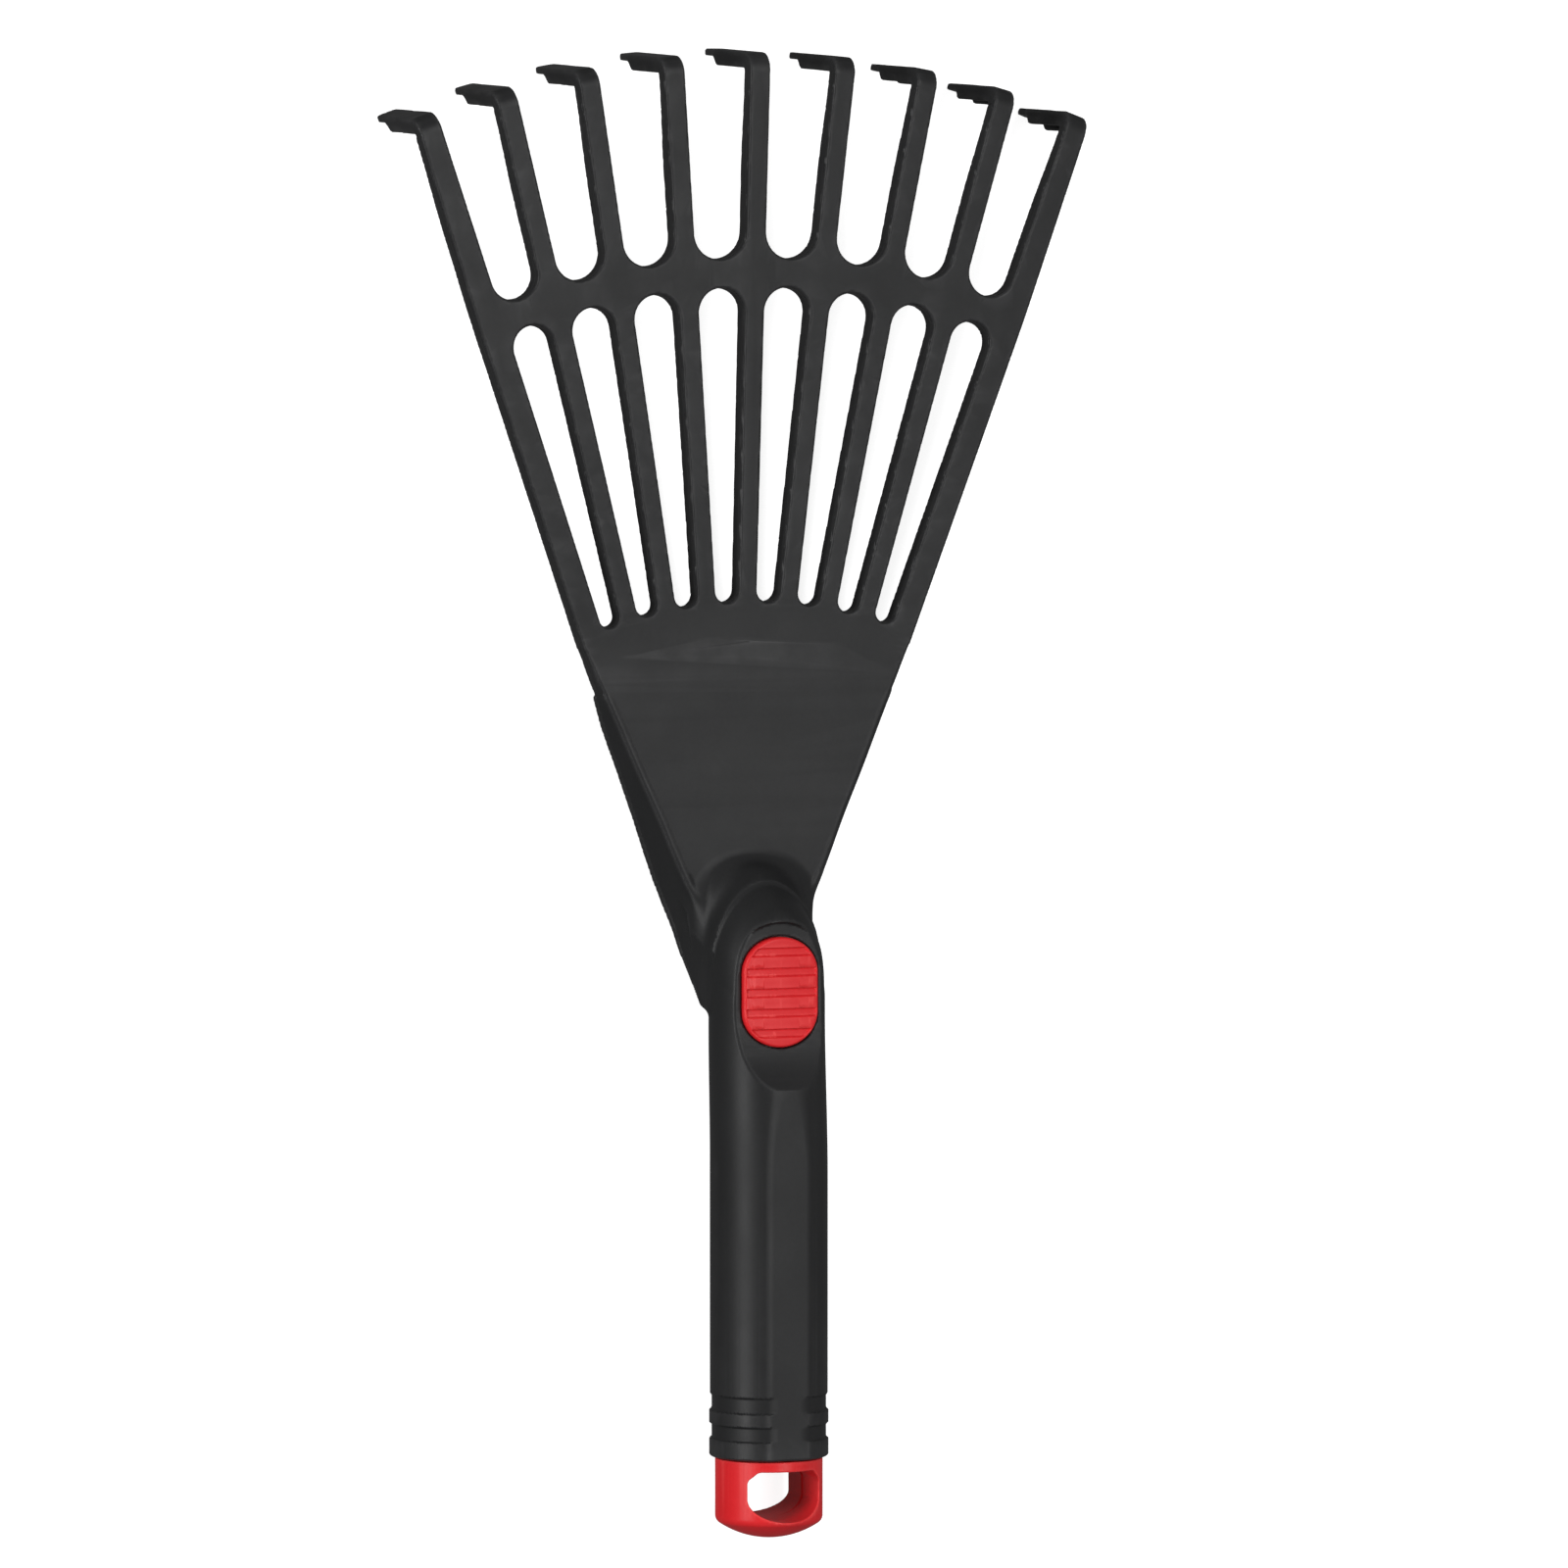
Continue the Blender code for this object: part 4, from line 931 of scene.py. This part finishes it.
def build_small_pieces():
    cap = make_piece("end_plug", cap_field, CAP_BOX, *CAP_MESH)
    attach(cap, "plug")
    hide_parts("end_cap")
    button = make_piece("push_button", button_field, BUTTON_BOX, *BUTTON_MESH)
    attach(button, "button")
    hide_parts("release_button")
    yoke = make_piece("tang_yoke", yoke_field, YOKE_BOX, *YOKE_MESH)
    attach(yoke, "button")
    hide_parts("lock_yoke")
    return cap, button, yoke


def coil_points(steps, sides):
    """Rings of points around the wire; the coil's end turns climb less than the others."""
    wire = SPRING_WIRE / 2
    rise = SPRING_Z[1] - SPRING_Z[0] - 2 * wire
    closed = SPRING_CLOSED[0] / SPRING_TURNS
    low = SPRING_CLOSED[1]
    points = []
    for step in range(steps + 1):
        share = step / steps
        turn = 2 * math.pi * SPRING_TURNS * share
        climb = np.interp(share, (0.0, closed, 1.0 - closed, 1.0), (0.0, low, 1.0 - low, 1.0))
        centre = Vector((0.0, SPRING_Y, SPRING_Z[0] + wire + rise * float(climb) - SET_BACK))
        outward = Vector((math.cos(turn), math.sin(turn), 0.0))
        for side in range(sides):
            angle = 2 * math.pi * side / sides
            swing = math.cos(angle) * outward + math.sin(angle) * Vector((0.0, 0.0, 1.0))
            points.append(TOOL @ ((centre + SPRING_RADIUS * outward + wire * swing) * MM))
    return points


def tube_faces(steps, sides):
    """Quads from ring to ring and one face over each end."""
    faces = []
    last = steps * sides
    for row in range(0, last, sides):
        for side in range(sides):
            ahead = (side + 1) % sides
            faces.append((row + side, row + sides + side, row + sides + ahead, row + ahead))
    faces.append(tuple(range(sides)))
    faces.append(tuple(last + side for side in reversed(range(sides))))
    return faces


def build_spring():
    steps = int(SPRING_TURNS * SPRING_STEPS)
    mesh = bpy.data.meshes.new("coil_spring")
    mesh.from_pydata(coil_points(steps, SPRING_SIDES), [], tube_faces(steps, SPRING_SIDES))
    mesh.shade_smooth()
    mesh.set_sharp_from_angle(angle=SPRING_SHARP)
    spring = bpy.data.objects.new("coil_spring", mesh)
    bpy.context.scene.collection.objects.link(spring)
    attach(spring, "head")
    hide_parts("button_spring")
    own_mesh(spring)
    return spring


# ---- materials

PLASTIC_IOR = 1.49
ROUGHNESS_SPREAD = 0.035
RUBBED_SMOOTHER = 0.06
WAVE_DEPTH = 0.00006  # bump depths in metres
WIRE_SCRATCH_DEPTH = 0.00001


class Nodes:
    """Short hand for wiring one material's nodes."""

    def __init__(self, name):
        self.material = bpy.data.materials.new(name)
        self.material.use_nodes = True
        self.tree = self.material.node_tree
        self.shader = self.tree.nodes["Principled BSDF"]
        self.place = self.add("ShaderNodeTexCoord").outputs["Object"]

    def add(self, kind, **settings):
        node = self.tree.nodes.new(kind)
        for key, value in settings.items():
            setattr(node, key, value)
        return node

    def link(self, source, target):
        self.tree.links.new(source, target)

    def noise(self, scale, detail=3.0, rough=0.5, stretch=None):
        texture = self.add("ShaderNodeTexNoise")
        texture.inputs["Scale"].default_value = scale
        texture.inputs["Detail"].default_value = detail
        texture.inputs["Roughness"].default_value = rough
        if stretch:
            mapping = self.add("ShaderNodeMapping")
            mapping.inputs["Scale"].default_value = stretch
            self.link(self.place, mapping.inputs["Vector"])
            self.link(mapping.outputs["Vector"], texture.inputs["Vector"])
        else:
            self.link(self.place, texture.inputs["Vector"])
        return texture.outputs["Fac"]

    def ranged(self, value, from_low, from_high, to_low, to_high):
        node = self.add("ShaderNodeMapRange")
        for key, number in (("From Min", from_low), ("From Max", from_high), ("To Min", to_low),
                            ("To Max", to_high)):
            node.inputs[key].default_value = number
        self.link(value, node.inputs["Value"])
        return node.outputs["Result"]

    def math(self, operation, first, second):
        node = self.add("ShaderNodeMath", operation=operation)
        for socket, value in zip(node.inputs, (first, second)):
            if isinstance(value, float):
                socket.default_value = value
            else:
                self.link(value, socket)
        return node.outputs["Value"]

    def mix(self, share, first, second):
        node = self.add("ShaderNodeMix", data_type="RGBA")
        self.link(share, node.inputs["Factor"])
        for socket, value in ((node.inputs[6], first), (node.inputs[7], second)):
            if isinstance(value, tuple):
                socket.default_value = (*value, 1.0)
            else:
                self.link(value, socket)
        return node.outputs[2]

    def bump(self, height, distance, strength=1.0, under=None):
        node = self.add("ShaderNodeBump")
        node.inputs["Distance"].default_value = distance
        node.inputs["Strength"].default_value = strength
        self.link(height, node.inputs["Height"])
        if under:
            self.link(under, node.inputs["Normal"])
        return node.outputs["Normal"]

    def edge(self, low, high):
        """0 on flat faces, 1 along convex edges."""
        return self.ranged(self.add("ShaderNodeNewGeometry").outputs["Pointiness"], low, high, 0.0, 1.0)


def moulded_plastic(name, deep, light, worn_and_highlit_edge_colour, roughness, specular, grain_depth):
    """Injection-moulded plastic: spark-eroded grain, faint flow clouds, and convex edges rubbed smoother
    and painted lighter, which is partly wear and partly a painted highlight.
    """
    nodes = Nodes(name)
    clouds = nodes.noise(38.0, 4.0, 0.6, (1.0, 0.45, 1.0))
    specks = nodes.noise(900.0, 2.0, 0.5)
    tone = nodes.math("ADD", nodes.math("MULTIPLY", clouds, 0.75), nodes.math("MULTIPLY", specks, 0.25))
    colour = nodes.mix(nodes.ranged(tone, 0.3, 0.7, 0.0, 1.0), deep, light)
    # Convex edges, broken up by noise, get a lighter colour (worn edges with a painted highlight) and a
    # little less roughness
    wear_and_highlight_breakup = nodes.ranged(nodes.noise(160.0), 0.35, 0.65, 0.4, 1.0)
    rub_and_highlight = nodes.math("MULTIPLY", nodes.edge(0.508, 0.56), wear_and_highlight_breakup)
    colour = nodes.mix(rub_and_highlight, colour, worn_and_highlit_edge_colour)
    nodes.link(colour, nodes.shader.inputs["Base Color"])
    rough = nodes.ranged(nodes.noise(70.0, 3.0, 0.6), 0.3, 0.7, roughness - ROUGHNESS_SPREAD,
                         roughness + ROUGHNESS_SPREAD)
    rough = nodes.math("SUBTRACT", rough, nodes.math("MULTIPLY", rub_and_highlight, RUBBED_SMOOTHER))
    nodes.link(rough, nodes.shader.inputs["Roughness"])
    grain = nodes.bump(nodes.noise(2600.0, 2.0, 0.55), grain_depth, 0.5)
    waves = nodes.bump(nodes.noise(55.0, 2.0, 0.4), WAVE_DEPTH, 0.5, grain)
    nodes.link(waves, nodes.shader.inputs["Normal"])
    nodes.shader.inputs["Specular IOR Level"].default_value = specular
    nodes.shader.inputs["IOR"].default_value = PLASTIC_IOR
    return nodes.material


def spring_steel():
    """Drawn wire: fine scratches along it and a slight oil tint."""
    nodes = Nodes("drawn_wire")
    tint = nodes.ranged(nodes.noise(220.0, 3.0, 0.6), 0.3, 0.7, 0.0, 1.0)
    nodes.link(nodes.mix(tint, (0.36, 0.35, 0.34), (0.5, 0.5, 0.5)), nodes.shader.inputs["Base Color"])
    rough = nodes.ranged(nodes.noise(700.0, 2.0), 0.3, 0.7, 0.24, 0.4)
    nodes.link(rough, nodes.shader.inputs["Roughness"])
    scratches = nodes.bump(nodes.noise(3200.0, 2.0), WIRE_SCRATCH_DEPTH, 0.5)
    nodes.link(scratches, nodes.shader.inputs["Normal"])
    nodes.shader.inputs["Metallic"].default_value = 1.0
    return nodes.material


def paint(piece, material):
    piece.data.materials.clear()
    piece.data.materials.append(material)


# Each edge colour is lighter than its body colour: worn edges with a painted highlight
BLACK = moulded_plastic("black_moulding", deep=(0.0130, 0.0132, 0.0137), light=(0.0180, 0.0182, 0.0188),
                        worn_and_highlit_edge_colour=(0.034, 0.034, 0.035), roughness=0.44, specular=0.2,
                        grain_depth=0.00002)
RED = moulded_plastic("red_moulding", deep=(0.62, 0.012, 0.016), light=(0.70, 0.020, 0.025),
                      worn_and_highlit_edge_colour=(0.80, 0.06, 0.06), roughness=0.38, specular=0.2,
                      grain_depth=0.00001)
GREY = moulded_plastic("grey_moulding", deep=(0.10, 0.10, 0.105), light=(0.14, 0.14, 0.145),
                       worn_and_highlit_edge_colour=(0.2, 0.2, 0.2), roughness=0.45, specular=0.4,
                       grain_depth=0.00002)

paint(build_head(), BLACK)
cap, button, yoke = build_small_pieces()
paint(cap, RED)
paint(button, RED)
paint(yoke, GREY)
paint(build_spring(), spring_steel())


# ---- floor, light and camera

VIEW_TURN = math.radians(23.0)
VIEW_RISE = math.radians(3.4)
VIEW_POINT = (4.39, 200.0, 0.0)
VIEW_WIDTH = 416.7  # of the view at that point
CAMERA_DISTANCE = 3200.0
SENSOR_WIDTH = 36.0
CAMERA_REACH = 50.0  # in metres
LIGHT_POINT = (0.0, 200.0, 0.0)
FLOOR_HALF = 20.0  # in metres
FLOOR_GREY = 0.5
FLOOR_GLOW = 0.85
SKY = ((0.0, 0.13), (0.03, 0.5), (0.35, 0.4), (0.75, 0.16), (1.0, 0.16))  # height and brightness


def view_axes():
    """Right, up and towards the camera, in the row frame."""
    turn = TOOL.to_3x3()
    towards = turn @ Vector((-math.sin(VIEW_TURN) * math.cos(VIEW_RISE), math.sin(VIEW_RISE),
                             math.cos(VIEW_TURN) * math.cos(VIEW_RISE)))
    up = turn @ Vector((0.0, 1.0, 0.0))
    up = (up - up.dot(towards) * towards).normalized()
    return up.cross(towards), up, towards


def add_camera():
    right, up, towards = view_axes()
    data = bpy.data.cameras.new("camera")
    data.sensor_width = SENSOR_WIDTH
    data.lens = SENSOR_WIDTH * CAMERA_DISTANCE / VIEW_WIDTH
    data.clip_end = CAMERA_REACH
    camera = bpy.data.objects.new("camera", data)
    bpy.context.scene.collection.objects.link(camera)
    camera.matrix_world = Matrix((right, up, towards)).transposed().to_4x4()
    camera.location = TOOL @ (Vector(VIEW_POINT) * MM) + towards * CAMERA_DISTANCE * MM
    bpy.context.scene.camera = camera


def add_soft_box(name, angle, rise, distance, width, height, power):
    """An area light beside the camera: degrees from the camera's direction, metres, watts."""
    right, up, towards = view_axes()
    side = math.radians(angle)
    lift = math.radians(rise)
    direction = math.cos(lift) * (math.cos(side) * towards + math.sin(side) * right) + math.sin(lift) * up
    data = bpy.data.lights.new(name, "AREA")
    data.shape = "RECTANGLE"
    data.size = width
    data.size_y = height
    data.energy = power
    light = bpy.data.objects.new(name, data)
    bpy.context.scene.collection.objects.link(light)
    tall = (up - up.dot(direction) * direction).normalized()
    light.matrix_world = Matrix((tall.cross(direction), tall, direction)).transposed().to_4x4()
    light.location = TOOL @ (Vector(LIGHT_POINT) * MM) + direction * distance
    light.visible_camera = False


def add_world():
    """Pale all round at the horizon and darker overhead."""
    world = bpy.data.worlds.new("studio")
    bpy.context.scene.world = world
    world.use_nodes = True
    tree = world.node_tree
    background = tree.nodes["Background"]
    place = tree.nodes.new("ShaderNodeTexCoord")
    split = tree.nodes.new("ShaderNodeSeparateXYZ")
    ramp = tree.nodes.new("ShaderNodeValToRGB")
    tree.links.new(place.outputs["Generated"], split.inputs[0])
    tree.links.new(split.outputs["Z"], ramp.inputs["Fac"])
    stops = ramp.color_ramp.elements
    while len(stops) < len(SKY):
        stops.new(0.5)
    for stop, (position, level) in zip(stops, SKY):
        stop.position = position
        stop.color = (level, level, level, 1.0)
    tree.links.new(ramp.outputs["Color"], background.inputs["Color"])


def add_floor():
    """A pale floor whose own glow keeps it even; it doesn't light or mirror in the rake."""
    mesh = bpy.data.meshes.new("floor")
    half = FLOOR_HALF
    mesh.from_pydata([(-half, -half, 0), (half, -half, 0), (half, half, 0), (-half, half, 0)], [],
                     [(0, 1, 2, 3)])
    floor = bpy.data.objects.new("floor", mesh)
    floor.visible_glossy = False
    floor.visible_diffuse = False
    bpy.context.scene.collection.objects.link(floor)
    material = bpy.data.materials.new("floor")
    material.use_nodes = True
    shader = material.node_tree.nodes["Principled BSDF"]
    shader.inputs["Base Color"].default_value = (FLOOR_GREY, FLOOR_GREY, FLOOR_GREY, 1.0)
    shader.inputs["Emission Color"].default_value = (1.0, 1.0, 1.0, 1.0)
    shader.inputs["Emission Strength"].default_value = FLOOR_GLOW
    shader.inputs["Roughness"].default_value = 0.9
    shader.inputs["Specular IOR Level"].default_value = 0.0
    mesh.materials.append(material)


add_camera()
add_world()
add_floor()
add_soft_box("soft_box_left", angle=-48.0, rise=4.0, distance=2.4, width=0.9, height=2.4, power=44.0)
add_soft_box("soft_box_right", angle=34.0, rise=4.0, distance=2.4, width=0.6, height=2.4, power=35.0)
bpy.context.scene.view_settings.view_transform = "Standard"
